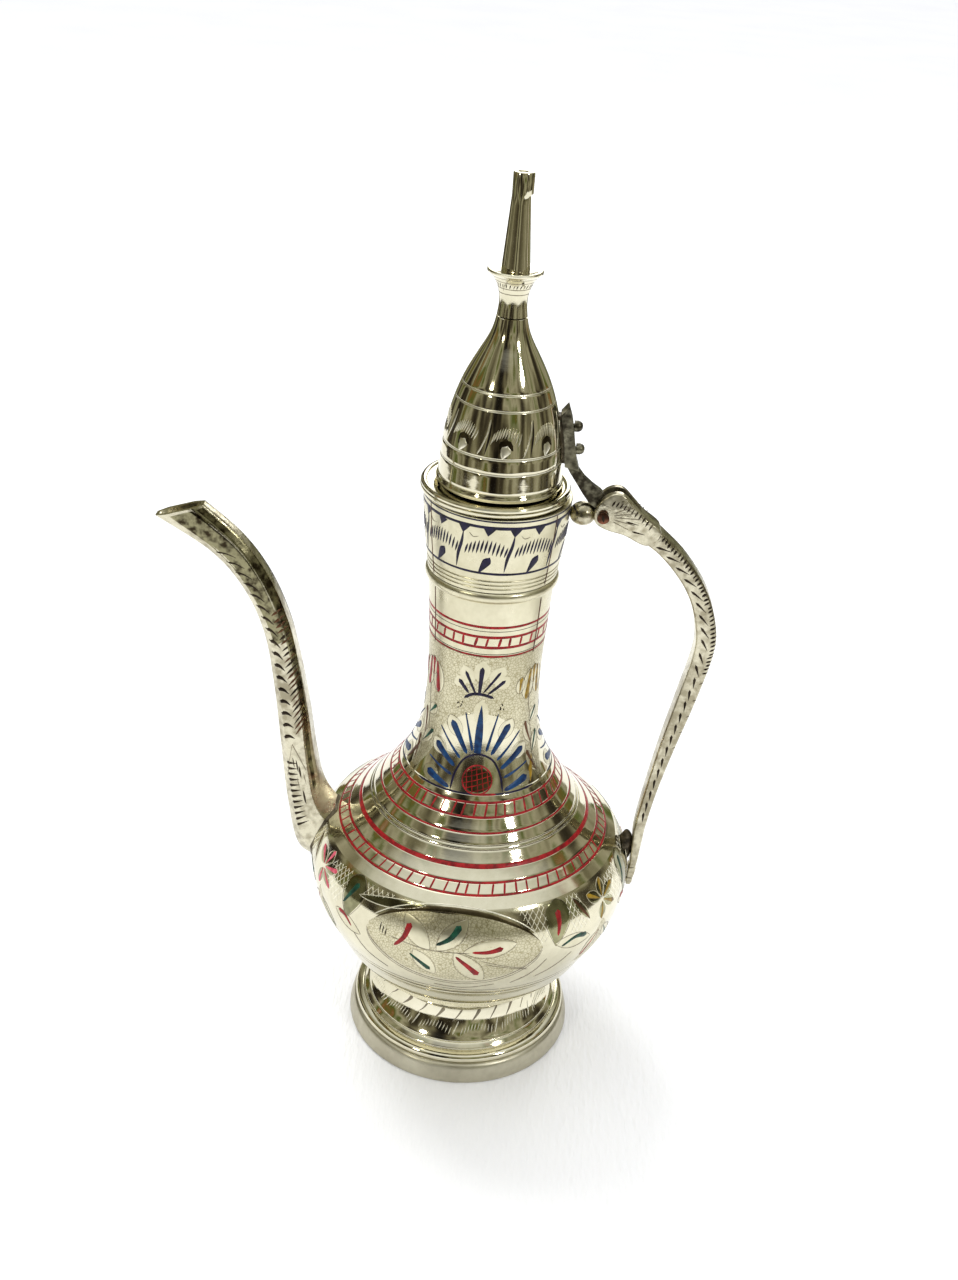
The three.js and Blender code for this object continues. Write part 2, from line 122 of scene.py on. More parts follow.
def make_world():
    """White to the camera. The metal sees a bright ceiling over a dim, olive and brown room."""
    world = bpy.data.worlds.new("studio")
    bpy.context.scene.world = world
    world.use_nodes = True
    tree = world.node_tree
    tree.nodes.clear()
    output = tree.nodes.new("ShaderNodeOutputWorld")
    where = tree.nodes.new("ShaderNodeTexCoord")
    split = tree.nodes.new("ShaderNodeSeparateXYZ")
    tree.links.new(where.outputs["Generated"], split.inputs[0])
    patches = noise(tree, 2.6, 2.0, stretch=(1, 1, 0.35), source=where.outputs["Generated"])
    room = ramp(tree, patches, [
        (0.34, (0.010, 0.008, 0.006)), (0.43, (0.06, 0.05, 0.032)), (0.50, (0.20, 0.185, 0.12)),
        (0.56, (0.42, 0.40, 0.30)), (0.62, (0.10, 0.13, 0.03)), (0.68, (0.26, 0.13, 0.05)),
        (0.75, (0.9, 0.9, 0.84)),
    ])
    height = ramp(tree, split.outputs["Z"], [(0.60, (0, 0, 0)), (0.84, (1, 1, 1))])
    sky = tree.nodes.new("ShaderNodeMix")
    sky.data_type = "RGBA"
    tree.links.new(height, sky.inputs["Factor"])
    tree.links.new(room, sky.inputs[6])
    sky.inputs[7].default_value = (0.98, 1.0, 0.99, 1)
    seen = tree.nodes.new("ShaderNodeBackground")
    tree.links.new(sky.outputs[2], seen.inputs["Color"])
    seen.inputs["Strength"].default_value = 1.0
    plain = tree.nodes.new("ShaderNodeBackground")
    plain.inputs["Color"].default_value = (0.97, 0.975, 0.985, 1)
    plain.inputs["Strength"].default_value = 0.80
    ray = tree.nodes.new("ShaderNodeLightPath")
    choose = tree.nodes.new("ShaderNodeMixShader")
    tree.links.new(ray.outputs["Is Glossy Ray"], choose.inputs[0])
    tree.links.new(plain.outputs[0], choose.inputs[1])
    tree.links.new(seen.outputs[0], choose.inputs[2])
    tree.links.new(choose.outputs[0], output.inputs["Surface"])


def area_light(name, place, aim, size, watts, colour=(1, 1, 1)):
    data = bpy.data.lights.new(name, "AREA")
    data.shape = "DISK"
    data.size = size
    data.energy = watts
    data.color = colour
    light = bpy.data.objects.new(name, data)
    light.location = place
    light.rotation_euler = (Vector(aim) - Vector(place)).to_track_quat("-Z", "Y").to_euler()
    bpy.context.scene.collection.objects.link(light)


def make_lights():
    middle = (0.0, 0.0, 0.09)
    sun = bpy.data.lights.new("sun", "SUN")
    sun.energy, sun.angle = 1.15, radians(24)
    lamp = bpy.data.objects.new("sun", sun)
    lamp.rotation_euler = (radians(-28), radians(-24), 0)
    lamp.visible_glossy = False
    bpy.context.scene.collection.objects.link(lamp)
    area_light("overhead", (-0.15, 0.1, 1.1), middle, 0.8, 1.5)
    area_light("window_right", (0.75, -0.65, 0.75), middle, 0.16, 2.2)
    area_light("window_left", (-0.6, -0.75, 0.62), middle, 0.12, 1.3, (1, 0.97, 0.82))
    area_light("behind", (0.2, 0.9, 0.5), middle, 0.5, 2.0)


# ---- node helpers ---------------------------------------------------------------------------
def noise(tree, scale, detail, stretch=(1, 1, 1), source=None, kind="noise"):
    """A noise or cell pattern fixed to the piece. "scale" is cells per metre."""
    if source is None:
        source = tree.nodes.new("ShaderNodeTexCoord").outputs["Object"]
    mapping = tree.nodes.new("ShaderNodeMapping")
    mapping.inputs["Scale"].default_value = stretch
    tree.links.new(source, mapping.inputs["Vector"])
    if kind == "cells":
        texture = tree.nodes.new("ShaderNodeTexVoronoi")
        texture.feature = "DISTANCE_TO_EDGE"
        result = texture.outputs["Distance"]
    else:
        texture = tree.nodes.new("ShaderNodeTexNoise")
        texture.inputs["Detail"].default_value = detail
        result = texture.outputs["Fac"]
    texture.inputs["Scale"].default_value = scale
    tree.links.new(mapping.outputs[0], texture.inputs["Vector"])
    return result


def ramp(tree, source, stops, target=None):
    node = tree.nodes.new("ShaderNodeValToRGB")
    elements = node.color_ramp.elements
    while len(elements) < len(stops):
        elements.new(0.5)
    for element, (place, colour) in zip(elements, stops):
        element.position = place
        element.color = (*colour, 1)
    tree.links.new(source, node.inputs[0])
    if target is not None:
        tree.links.new(node.outputs["Color"], target)
    return node.outputs["Color"]


def spread(tree, source, low, high, target=None):
    """The pattern's usual range, 0.3 to 0.7, spread over low to high."""
    node = tree.nodes.new("ShaderNodeMapRange")
    node.inputs["From Min"].default_value = 0.3
    node.inputs["From Max"].default_value = 0.7
    node.inputs["To Min"].default_value = low
    node.inputs["To Max"].default_value = high
    tree.links.new(source, node.inputs["Value"])
    if target is not None:
        tree.links.new(node.outputs[0], target)
    return node.outputs[0]


def bump(tree, shader, source, strength, distance, before=None):
    node = tree.nodes.new("ShaderNodeBump")
    node.inputs["Strength"].default_value = strength
    node.inputs["Distance"].default_value = distance
    tree.links.new(source, node.inputs["Height"])
    if before is not None:
        tree.links.new(before, node.inputs["Normal"])
    tree.links.new(node.outputs[0], shader.inputs["Normal"])
    return node.outputs[0]


# ---- materials ------------------------------------------------------------------------------
def plated(name, light, dark, rough, turning=0.0, texture=None, grain=0.35):
    """Plated brass: cloudy colour, uneven polish, fine turning lines and an optional surface
    texture of (cells per metre, strength, depth in metres, kind)."""
    material, tree, shader = new_material(name)
    shader.inputs["Metallic"].default_value = 1.0
    clouds = noise(tree, 70.0, 4.0)
    specks = noise(tree, 700.0, 3.0)
    tone = tree.nodes.new("ShaderNodeMath")
    tone.operation = "MULTIPLY_ADD"
    tone.inputs[1].default_value = grain
    tree.links.new(specks, tone.inputs[0])
    tree.links.new(clouds, tone.inputs[2])
    share = tree.nodes.new("ShaderNodeMath")
    share.operation = "DIVIDE"
    share.inputs[1].default_value = 1 + grain
    tree.links.new(tone.outputs[0], share.inputs[0])
    reach = 0.17 / (1 + grain)
    plate = ramp(tree, share.outputs[0], [(0.5 - reach, dark), (0.5 + reach, light)],
                 shader.inputs["Base Color"])
    spread(tree, noise(tree, 230.0, 5.0), rough[0], rough[1], shader.inputs["Roughness"])
    normal = None
    if turning:
        lines = noise(tree, 1.0, 2.0, stretch=(30, 30, 5200))
        normal = bump(tree, shader, lines, turning, 0.00004)
    if texture:
        cells, strength, depth, kind = texture
        pattern = noise(tree, cells, 2.0, kind=kind)
        normal = bump(tree, shader, pattern, strength, depth, normal)
        if kind == "cells":
            mix = tree.nodes.new("ShaderNodeMix")
            mix.data_type, mix.blend_type = "RGBA", "MULTIPLY"
            mix.inputs["Factor"].default_value = 1.0
            tree.links.new(plate, mix.inputs[6])
            ramp(tree, pattern, [(0.02, (0.60, 0.57, 0.48)), (0.12, (1, 1, 1))], mix.inputs[7])
            tree.links.new(mix.outputs[2], shader.inputs["Base Color"])
    else:
        bump(tree, shader, noise(tree, 160.0, 3.0), 0.12, 0.0004, normal)
    return material


def enamelled(name, colour, deep):
    """Lacquer laid into a cut: uneven depth of colour, a little grain and a soft gloss."""
    material, tree, shader = new_material(name)
    shader.inputs["Specular IOR Level"].default_value = 0.22
    shader.inputs["Coat Weight"].default_value = 0.12
    shader.inputs["Coat Roughness"].default_value = 0.2
    ramp(tree, noise(tree, 800.0, 4.0), [(0.36, deep), (0.62, colour)], shader.inputs["Base Color"])
    spread(tree, noise(tree, 1500.0, 2.0), 0.28, 0.5, shader.inputs["Roughness"])
    bump(tree, shader, noise(tree, 2400.0, 3.0), 0.3, 0.00006)
    return material


def make_looks():
    return {
        "mirror": plated("mirror_plate", (0.76, 0.72, 0.56), (0.64, 0.60, 0.44), (0.045, 0.10), 0.05),
        "bright": plated("bright_plate", (0.76, 0.72, 0.55), (0.62, 0.58, 0.42), (0.09, 0.17), 0.12),
        "soft": plated("soft_plate", (0.75, 0.71, 0.53), (0.60, 0.56, 0.39), (0.24, 0.36), 0.10),
        "satin": plated("satin_plate", (0.60, 0.57, 0.45), (0.46, 0.43, 0.33), (0.33, 0.46), 0.35),
        "cast": plated("cast_plate", (0.66, 0.62, 0.47), (0.34, 0.305, 0.21), (0.16, 0.38),
                       texture=(900.0, 0.5, 0.00016, "noise"), grain=1.0),
        "dull_cast": plated("dull_cast_plate", (0.24, 0.225, 0.155), (0.035, 0.03, 0.02), (0.22, 0.45),
                            texture=(800.0, 0.5, 0.00015, "noise"), grain=1.0),
        "stipple": plated("stippled_plate", (0.71, 0.67, 0.49), (0.56, 0.52, 0.36), (0.30, 0.42),
                          texture=(1500.0, 0.45, 0.0001, "cells")),
        "umber": plated("umber_shadow", (0.13, 0.105, 0.055), (0.05, 0.038, 0.02), (0.2, 0.35)),
        # The spout's dark patches: a dark base colour that paints the reflection of the dim room in its
        # polished facets.
        "bronze": plated("dark_bronze", (0.27, 0.25, 0.145), (0.035, 0.026, 0.014), (0.12, 0.26),
                         texture=(420.0, 0.5, 0.00014, "noise"), grain=1.4),
        # Polished petals: a dark olive base colour that paints the reflection of the dim olive room.
        "olive": plated("olive_polish", (0.38, 0.37, 0.21), (0.12, 0.115, 0.06), (0.10, 0.2)),
        "pale_cut": plated("pale_cut", (0.95, 0.92, 0.78), (0.80, 0.76, 0.60), (0.25, 0.4)),
        "grey_cut": plated("grey_cut", (0.34, 0.30, 0.22), (0.16, 0.135, 0.10), (0.35, 0.5)),
        "dark_cut": plated("dark_cut", (0.06, 0.045, 0.032), (0.02, 0.015, 0.011), (0.35, 0.55)),
        "brown_cut": plated("brown_cut", (0.17, 0.085, 0.045), (0.07, 0.035, 0.022), (0.3, 0.5)),
        "copper": plated("copper_pin", (0.24, 0.095, 0.055), (0.06, 0.028, 0.018), (0.3, 0.5),
                         texture=(1300.0, 0.6, 0.0001, "noise"), grain=1.0),
        # Dark braze: the joints' own colour, also standing in as painted shade in the gaps by the lid's arm
        # and the handle's tail.
        "braze": plated("braze", (0.15, 0.125, 0.085), (0.03, 0.025, 0.018), (0.35, 0.6),
                        texture=(1100.0, 0.8, 0.0003, "noise"), grain=1.0),
        "red": enamelled("red_enamel", (0.34, 0.007, 0.009), (0.15, 0.003, 0.004)),
        "rose": enamelled("rose_enamel", (0.70, 0.12, 0.17), (0.48, 0.05, 0.08)),
        "navy": enamelled("navy_enamel", (0.008, 0.005, 0.035), (0.003, 0.002, 0.010)),
        "blue": enamelled("blue_enamel", (0.002, 0.042, 0.135), (0.001, 0.014, 0.06)),
        "green": enamelled("green_enamel", (0.004, 0.070, 0.034), (0.002, 0.02, 0.012)),
        "gold": enamelled("gold_enamel", (0.34, 0.21, 0.012), (0.15, 0.09, 0.006)),
    }


# ---- curves ---------------------------------------------------------------------------------
def even_spline(points, steps):
    """Uniform Catmull-Rom points, the same rule as the CAD's own outlines."""
    p = np.array(points, float)
    spans = len(p) - 1
    out = []
    for i in range(steps + 1):
        at = spans * i / steps
        k = min(int(at), spans - 1)
        w = at - k
        p0, p1, p2, p3 = p[max(k - 1, 0)], p[k], p[k + 1], p[min(k + 2, spans)]
        v0, v1 = (p2 - p0) / 2, (p3 - p1) / 2
        out.append((2 * p1 - 2 * p2 + v0 + v1) * w ** 3 + (-3 * p1 + 3 * p2 - 2 * v0 - v1) * w ** 2 + v0 * w
                   + p1)
    return np.array(out)


def through(points, step):
    """A smooth curve through unevenly spaced points, sampled about every "step" of length."""
    p = np.array(points, float)
    gap = np.linalg.norm(np.diff(p, axis=0), axis=1)
    slope = np.diff(p, axis=0) / gap[:, None]
    tangent = np.vstack([slope[:1], slope, slope[-1:]])
    weight = np.concatenate([gap[:1], gap, gap[-1:]])
    before, after = weight[:-1, None], weight[1:, None]
    tangent = (tangent[:-1] * after + tangent[1:] * before) / (before + after)
    out = [p[:1]]
    for k, length in enumerate(gap):
        w = np.linspace(0, 1, max(int(length / step), 1) + 1)[1:, None]
        out.append((2 * w ** 3 - 3 * w ** 2 + 1) * p[k] + (w ** 3 - 2 * w ** 2 + w) * length * tangent[k]
                   + (3 * w ** 2 - 2 * w ** 3) * p[k + 1] + (w ** 3 - w ** 2) * length * tangent[k + 1])
    return np.vstack(out)


# ---- meshes ---------------------------------------------------------------------------------
def new_object(name, points, faces):
    """An object from points in mm in the pot's own frame."""
    mesh = bpy.data.meshes.new(name)
    places = np.array(points, float) * MM
    places[:, 0] += AXIS_X
    mesh.from_pydata(places.tolist(), [], faces)
    made = bpy.data.objects.new(name, mesh)
    bpy.context.scene.collection.objects.link(made)
    return made


def add_piece(name, points, faces, look, body, crease=35.0):
    """A piece of one finish that rides on a CAD body."""
    piece = new_object(name, points, faces)
    piece.data.materials.append(look)
    piece.data.shade_smooth()
    piece.data.set_sharp_from_angle(angle=radians(crease))
    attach(piece, body)
    return piece


def face_outwards(piece):
    work = bmesh.new()
    work.from_mesh(piece.data)
    bmesh.ops.recalc_face_normals(work, faces=work.faces)
    work.to_mesh(piece.data)
    work.free()


def bake_modifiers(piece, crease=35.0):
    """Applies the piece's modifiers to its mesh."""
    graph = bpy.context.evaluated_depsgraph_get()
    done = bpy.data.meshes.new_from_object(piece.evaluated_get(graph))
    piece.modifiers.clear()
    piece.data = done
    done.shade_smooth()
    done.set_sharp_from_angle(angle=radians(crease))


def combine(piece, operation, *tools):
    """Joins or cuts the piece with helper objects, which are then removed."""
    for tool in tools:
        change = piece.modifiers.new("combine", "BOOLEAN")
        change.operation = operation
        change.solver = "EXACT"
        change.object = tool
    bpy.context.view_layer.update()
    bake_modifiers(piece)
    for tool in tools:
        bpy.data.objects.remove(tool)


def helper(name, points, faces):
    """A mesh used only to cut or join others."""
    tool = new_object(name, points, faces)
    face_outwards(tool)
    return tool


def solid_piece(name, points, faces, look, body, crease=35.0, node=None):
    """A piece with its faces turned outwards, in place of a CAD node if one is given."""
    piece = add_piece(name, points, faces, look, body, crease)
    face_outwards(piece)
    if node:
        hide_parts(node)
    return piece


def rounded(piece, width, segments=3, angle=30.0):
    """Small rounds along the piece's edges."""
    edge = piece.modifiers.new("rounds", "BEVEL")
    edge.width = width * MM
    edge.segments = segments
    edge.limit_method = "ANGLE"
    edge.angle_limit = radians(angle)
    bpy.context.view_layer.update()
    bake_modifiers(piece)


def lathe(outline, segments, closed=True, shift=None):
    """Points and faces of an outline of (radius, z) turned about the pot's axis. A point at
    radius 0 closes the surface there. "shift" moves each outline point's circle along X."""
    points, rows = [], []
    for k, (radius, z) in enumerate(outline):
        off = 0.0 if shift is None else shift[k]
        if radius < 1e-6:
            rows.append([len(points)] * segments)
            points.append((off, 0, z))
            continue
        rows.append(list(range(len(points), len(points) + segments)))
        for i in range(segments):
            a = 2 * pi * i / segments
            points.append((off + radius * sin(a), -radius * cos(a), z))
    faces = []
    count = len(rows)
    for k in range(count if closed else count - 1):
        low, high = rows[k], rows[(k + 1) % count]
        for i in range(segments):
            j = (i + 1) % segments
            corners = [low[i], low[j], high[j], high[i]]
            corners = [c for n, c in enumerate(corners) if c != corners[n - 1]]
            if len(corners) > 2:
                faces.append(corners)
    return points, faces


def loft(rings, closed=False, capped=True):
    """Points and faces of a tube through rings of equal length."""
    size = len(rings[0])
    points = [tuple(p) for ring in rings for p in ring]
    faces = []
    count = len(rings)
    for k in range(count if closed else count - 1):
        for i in range(size):
            j = (i + 1) % size
            other = (k + 1) % count
            faces.append((k * size + i, k * size + j, other * size + j, other * size + i))
    if capped and not closed:
        faces.append(tuple(reversed(range(size))))
        faces.append(tuple((count - 1) * size + i for i in range(size)))
    return points, faces


def ball(centre, radii, rings=14, segments=28, bottom=-90.0):
    """Outline points of a squashed ball, or of its upper part, about its own Z axis."""
    outline = []
    for k in range(rings + 1):
        a = radians(bottom + (90 - bottom) * k / rings)
        outline.append((cos(a), sin(a)))
    points, faces = lathe(outline, segments, closed=False)
    return [(centre[0] + x * radii[0], centre[1] + y * radii[1], centre[2] + z * radii[2])
            for x, y, z in points], faces


# ---- the pot's skin -------------------------------------------------------------------------
SKIN_DROP = 0.1          # the looks stay this far inside the CAD's outline, so inlay fits in it


def cad_profile(node):
    """(radius, z) of a turned CAD node's outer face, from the bottom up, where its facets meet."""
    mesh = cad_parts[node].data
    corners = [((v.co.x - AXIS_X) / MM, v.co.y / MM, v.co.z / MM) for v in mesh.vertices]
    tree = BVHTree.FromPolygons(corners, [tuple(p.vertices) for p in mesh.polygons])
    low = min(c[2] for c in corners)
    high = max(c[2] for c in corners)
    column = {round(z, 2): y for x, y, z in sorted(corners, key=lambda c: c[1]) if abs(x) < 0.02 and y > 0}
    profile = []
    for z, radius in sorted(column.items()):
        level = min(max(z, low + 0.01), high - 0.01)
        hit = tree.ray_cast(Vector((0, 80, level)), Vector((0, -1, 0)))[0]
        if hit is not None and abs(hit.y - radius) < 0.03:
            profile.append((radius - SKIN_DROP, z))
    return profile


class Skin:
    """A turned surface. Its places are (azimuth in degrees, length along the profile in mm)."""

    def __init__(self, *nodes, spacing=0.6):
        points = []
        for node in nodes:
            for at in cad_profile(node):
                if not points or hypot(at[0] - points[-1][0], at[1] - points[-1][1]) > spacing:
                    points.append(at)
        curve = through(points, 0.25)
        self.radius, self.z = curve[:, 0], curve[:, 1]
        self.length = np.concatenate([[0], np.cumsum(np.linalg.norm(np.diff(curve, axis=0), axis=1))])
        along = np.gradient(curve, self.length, axis=0)
        along /= np.linalg.norm(along, axis=1)[:, None]
        self.out_r, self.out_z = along[:, 1], -along[:, 0]

    def at(self, z):
        return np.interp(z, self.z, self.length)

    def read(self, v):
        return [np.interp(v, self.length, values) for values in (self.radius, self.z, self.out_r, self.out_z)]

    def across(self, v):
        """mm round the pot for one degree of azimuth."""
        return np.interp(v, self.length, self.radius) * pi / 180

    def place(self, azimuth, v, lift):
        radius, z, out_r, out_z = self.read(v)
        a = np.radians(azimuth)
        reach = radius + lift * out_r
        return np.stack([reach * np.sin(a), -reach * np.cos(a), z + lift * out_z], axis=-1)


def groove_depth(length, grooves):
    """How far grooves of (place, width, depth) sink the skin. A negative depth is a raised bead."""
    depth = np.zeros_like(length)
    for place, width, deep in grooves:
        share = np.clip(np.abs(length - place) / (width / 2), 0, 1)
        depth += deep * (0.5 + 0.5 * np.cos(pi * share))
    return depth


def skin_profile(skin, low, high, grooves=(), step=0.7):
    """(radius, z) along the skin between two heights, with (height, width, depth) grooves."""
    start, end = skin.at(low), skin.at(high)
    cuts = [(skin.at(z), width, deep) for z, width, deep in grooves]
    stations = set(np.linspace(start, end, int((end - start) / step) + 2).round(4))
    for place, width, _ in cuts:
        stations |= {round(place + width * share, 4)
                     for share in (-0.5, -0.38, -0.25, -0.12, 0, 0.12, 0.25, 0.38, 0.5)}
    length = np.array(sorted(s for s in stations if start - 0.001 <= s <= end + 0.001))
    radius, z, out_r, out_z = skin.read(length)
    depth = groove_depth(length, cuts)
    return list(zip(radius - depth * out_r, z - depth * out_z))


def sheet_outline(skin, low, high, wall, grooves=(), floor=None, lips=(True, True)):
    """The closed outline of a spun sheet. "lips" says whether its bottom and top edges are rounded,
    and "floor" closes its bottom at the axis."""
    outer = skin_profile(skin, low, high, grooves)
    start, end = skin.at(low), skin.at(high)
    inner_length = np.linspace(end, start, int((end - start) / 2.0) + 3)
    radius, z, out_r, out_z = skin.read(inner_length)
    inner = list(zip(radius - wall * out_r, np.clip(z - wall * out_z, low, high)))
    lip = 0.12
    top = [(outer[-1][0] - lip, min(outer[-1][1] + lip * 0.7, high + lip))] if lips[1] else []
    if floor is None:
        bottom = [(outer[0][0] - lip, outer[0][1] - lip * 0.7)] if lips[0] else []
        return bottom + outer + top + inner
    inner = [(r, height) for r, height in inner if height > floor + 0.3]
    return [(0, low), *outer, *top, *inner, (inner[-1][0] * 0.93, floor), (0, floor)]


# ---- inlay: cuts, enamel and polished patches on a surface ------------------------------------
def line_shape(t):
    return np.sqrt(np.clip(np.minimum(t, 1 - t) / 0.06, 0.0, 1))


def leaf_shape(t):
    return np.sin(pi * np.clip(t, 0, 1)) ** 0.75


def oval_shape(t):
    return np.clip(1 - np.abs(2 * t - 1) ** 2.0, 0, 1) ** 0.62


def chisel_shape(t):
    """Widest just after its start, and drawn out to a point."""
    return np.clip(t / 0.10, 0, 1) ** 0.6 * np.clip(1 - t, 0, 1) ** 0.75


def stroke_shape(t):
    """A brush stroke of enamel: blunt at its start, thinner towards its end."""
    return np.clip(t / 0.05, 0, 1) ** 0.5 * (1 - 0.55 * t) * np.clip((1 - t) / 0.06, 0.1, 1) ** 0.5


def club_shape(t):
    """Narrow at its start, swelling to a blunt, rounded end."""
    return (0.42 + 0.58 * t) * np.clip((1 - t) / 0.12, 0, 1) ** 0.5 * np.clip(t / 0.03 + 0.3, 0, 1)


def top_heavy_shape(t):
    """A petal that is broadest two thirds of the way to its end."""
    return np.sin(pi * np.clip(t, 0, 1) ** 1.6) ** 0.6


def drop_shape(t):
    """A teardrop, round at its start and pointed at its end."""
    return np.clip(t / 0.28, 0, 1) ** 0.55 * np.clip((1 - t) / 0.75, 0, 1) ** 0.8


EDGE_SINK = 0.03          # an inlay's edges lie this far under the surface
ROOT_SINK = 0.09          # and its underside this far
BLUNT = 0.03              # half-width of a sharp end
RING_POINTS = 240         # points in a line right round the pot
NARROW = 8                # an inlay with more columns than this is a patch, flat almost to its edge


class Inlay:
    """Closed slivers laid along a surface, gathered into one piece of one finish."""

    def __init__(self, name, look, body="pot"):
        self.name, self.look, self.body = name, look, body
        self.points, self.faces, self.count = [], [], 0

    def lay(self, skin, path, width, shape=line_shape, lift=0.07, across=4, power=4.0, step=0.5, loop=False,
            mirrored=False):
        """Lays one sliver along a path of (azimuth, length along the profile). Its widest place is
        "width" mm, "shape" gives the width along it, and "lift" is its height over the surface."""
        points = np.array(path, float)
        scale = skin.across(points[:, 1])
        flat = np.stack([points[:, 0] * scale.mean(), points[:, 1]], axis=-1)
        if loop:
            curve = points
        else:
            curve = through(flat, step) if len(points) > 2 else np.linspace(
                flat[0], flat[1], max(int(np.linalg.norm(flat[1] - flat[0]) / step), 3) + 1)
            curve = curve / np.array([scale.mean(), 1])
        scale = skin.across(curve[:, 1])
        along = np.gradient(curve, axis=0) * np.stack([scale, np.ones_like(scale)], axis=-1)
        if loop:
            along = np.stack([np.ones_like(scale), np.zeros_like(scale)], axis=-1)
        along /= np.linalg.norm(along, axis=1)[:, None]
        side = np.stack([-along[:, 1], along[:, 0]], axis=-1)
        t = np.linspace(0, 1, len(curve))
        if not loop:
            run = np.linalg.norm(np.diff(curve * np.stack([scale, np.ones_like(scale)], -1), axis=0), axis=1)
            t = np.concatenate([[0], np.cumsum(run)]) / run.sum()
        half = width / 2 * (np.asarray(width_wobble(t)) if loop else shape(t))
        half = np.maximum(half, min(BLUNT, width / 4))
        columns = np.linspace(-1, 1, across + 1)
        if across > NARROW:
            columns[1], columns[-2] = -0.985, 0.985
        else:
            columns = np.sign(columns) * np.abs(columns) ** 0.6
        lifts = -EDGE_SINK + (lift + EDGE_SINK) * np.sqrt(np.clip(1 - np.abs(columns) ** power, 0, 1))
        columns = np.concatenate([columns, columns[-2:0:-1]])
        lifts = np.concatenate([lifts, np.full(across - 1, -ROOT_SINK)])
        u = curve[:, :1] + side[:, :1] * half[:, None] * columns / scale[:, None]
        v = curve[:, 1:] + side[:, 1:] * half[:, None] * columns
        placed = skin.place(u, v, np.broadcast_to(lifts, u.shape))
        if mirrored:
            placed = placed * np.array([1, -1, 1])
        self.add(placed, loop, mirrored)

    def cut(self, skin, path, *args, **kwargs):
        """As lay, for a path of (azimuth, z)."""
        self.lay(skin, heights(skin, path), *args, **kwargs)

    def add(self, rings, loop, flip):
        count, size = rings.shape[:2]
        first = self.count
        self.points.append(rings.reshape(-1, 3))
        self.count += count * size
        made = []
        for k in range(count if loop else count - 1):
            low, high = first + k * size, first + (k + 1) % count * size
            for i in range(size):
                j = (i + 1) % size
                made.append((low + i, high + i, high + j, low + j))
        if not loop:
            last = first + (count - 1) * size
            made.append(tuple(range(first, first + size)))
            made.append(tuple(reversed(range(last, last + size))))
        self.faces += [tuple(reversed(face)) for face in made] if flip else made

    def ring(self, skin, z, width, lift=0.03):
        """A line right round the pot."""
        v = skin.at(z)
        path = [(360.0 * i / RING_POINTS, v) for i in range(RING_POINTS)]
        self.lay(skin, path, width, lift=lift, loop=True)

    def finish(self, slot=None):
        return add_piece(self.name, np.vstack(self.points), self.faces, self.look, self.body,
                         crease=60.0)


def width_wobble(t):
    """A hand-drawn line's width round the pot, as a share of its widest."""
    return 0.86 + 0.08 * np.sin(2 * pi * 5 * t + 1.0) + 0.06 * np.sin(2 * pi * 13 * t)


def heights(skin, path):
    """A path of (azimuth, z) as (azimuth, length along the profile)."""
    return [(a, float(skin.at(z))) for a, z in path]


# ---- turned pieces --------------------------------------------------------------------------
BELLY_SEGMENTS = 320
NECK_SEGMENTS = 224
SMALL_SEGMENTS = 96

BELLY_BOTTOM_Z = 15.2
BELLY_FLOOR_Z = 16.2
BODY_SEAM_Z = 54.95        # bowl to shoulder
NECK_SEAM_Z = 79.15        # shoulder to neck
NECK_TOP_Z = 115.75
CUP_BOTTOM_Z = 118.05
CUP_TOP_Z = 134.35
RIM_Z = (134.6, 136.6)
RIM_SHIFT = -0.6           # the rim sits a little towards the spout
MOUTH_BORE_RADIUS = 11.6
LID_BASE_Z = 136.78
LID_TOP_Z = 169.6
FINIAL_DISC_Z = 178.6
FINIAL_TOP_Z = 196.0
SHEET = 1.0
LID_SHEET = 0.8

pot_skin = Skin("bowl", "shoulder", "neck")
foot_skin = Skin("foot", spacing=0.3)
cup_skin = Skin("mouth_cup")
lid_skin = Skin("lid_dome")
collar_skin = Skin("finial_collar", spacing=0.3)

# Heights of the lines that run round the pot.
BELLY_GROOVES = (31.6, 33.2)
SHOULDER_GROOVES = (63.9, 63.2)
LOW_LADDER = (56.7, 58.4)
THICK_RED_Z = 60.7
UPPER_RED_Z = 65.9
HIGH_LADDER = (68.5, 71.0)
SUN_BASE_Z = 72.5
NECK_LADDER = (105.4, 107.8)
NECK_LOW_LINE_Z = 103.3
NECK_TOP_LINE_Z = 110.1
CUP_LINES = (122.6, 132.75)
CUP_EDGE_LINE_Z = 134.05
LID_GROOVES = (142.3, 145.3, 154.1, 157.0)


def turned_piece(name, outline, look, node, body="pot", segments=NECK_SEGMENTS,
                 shift=None,
                 closed=True):
    points, faces = lathe(outline, segments, closed, shift)
    return solid_piece(name, points, faces, look, body, node=node)


def make_foot(looks):
    ring_low, ring_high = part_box("foot_ring")
    r = (ring_high.x - ring_low.x) / 2 / MM - SKIN_DROP
    ring = [
        (r - 2.0, 0.0), (r - 0.4, 0.0), (r - 0.12, 0.1), (r, 0.4), (r - 0.06, 0.9), (r - 0.14, 1.5),
        (r - 0.36, 2.5),
        (r - 0.62, 3.4), (r - 0.85, 4.0), (r - 1.15, 4.4), (r - 1.6, 4.58), (r - 2.4, 4.6), (r - 2.6, 4.2),
        (r - 2.0, 3.0),
    ]
    turned_piece("turned_foot_ring", ring, looks["satin"], "foot_ring",
                 segments=BELLY_SEGMENTS)
    grooves = [(7.1, 0.7, 0.22), (8.3, 0.35, 0.08), (15.2, 0.9, -0.28)]
    outline = sheet_outline(foot_skin, 4.72, 15.6, SHEET, grooves)
    turned_piece("spun_foot", outline, looks["mirror"], "foot", segments=BELLY_SEGMENTS)


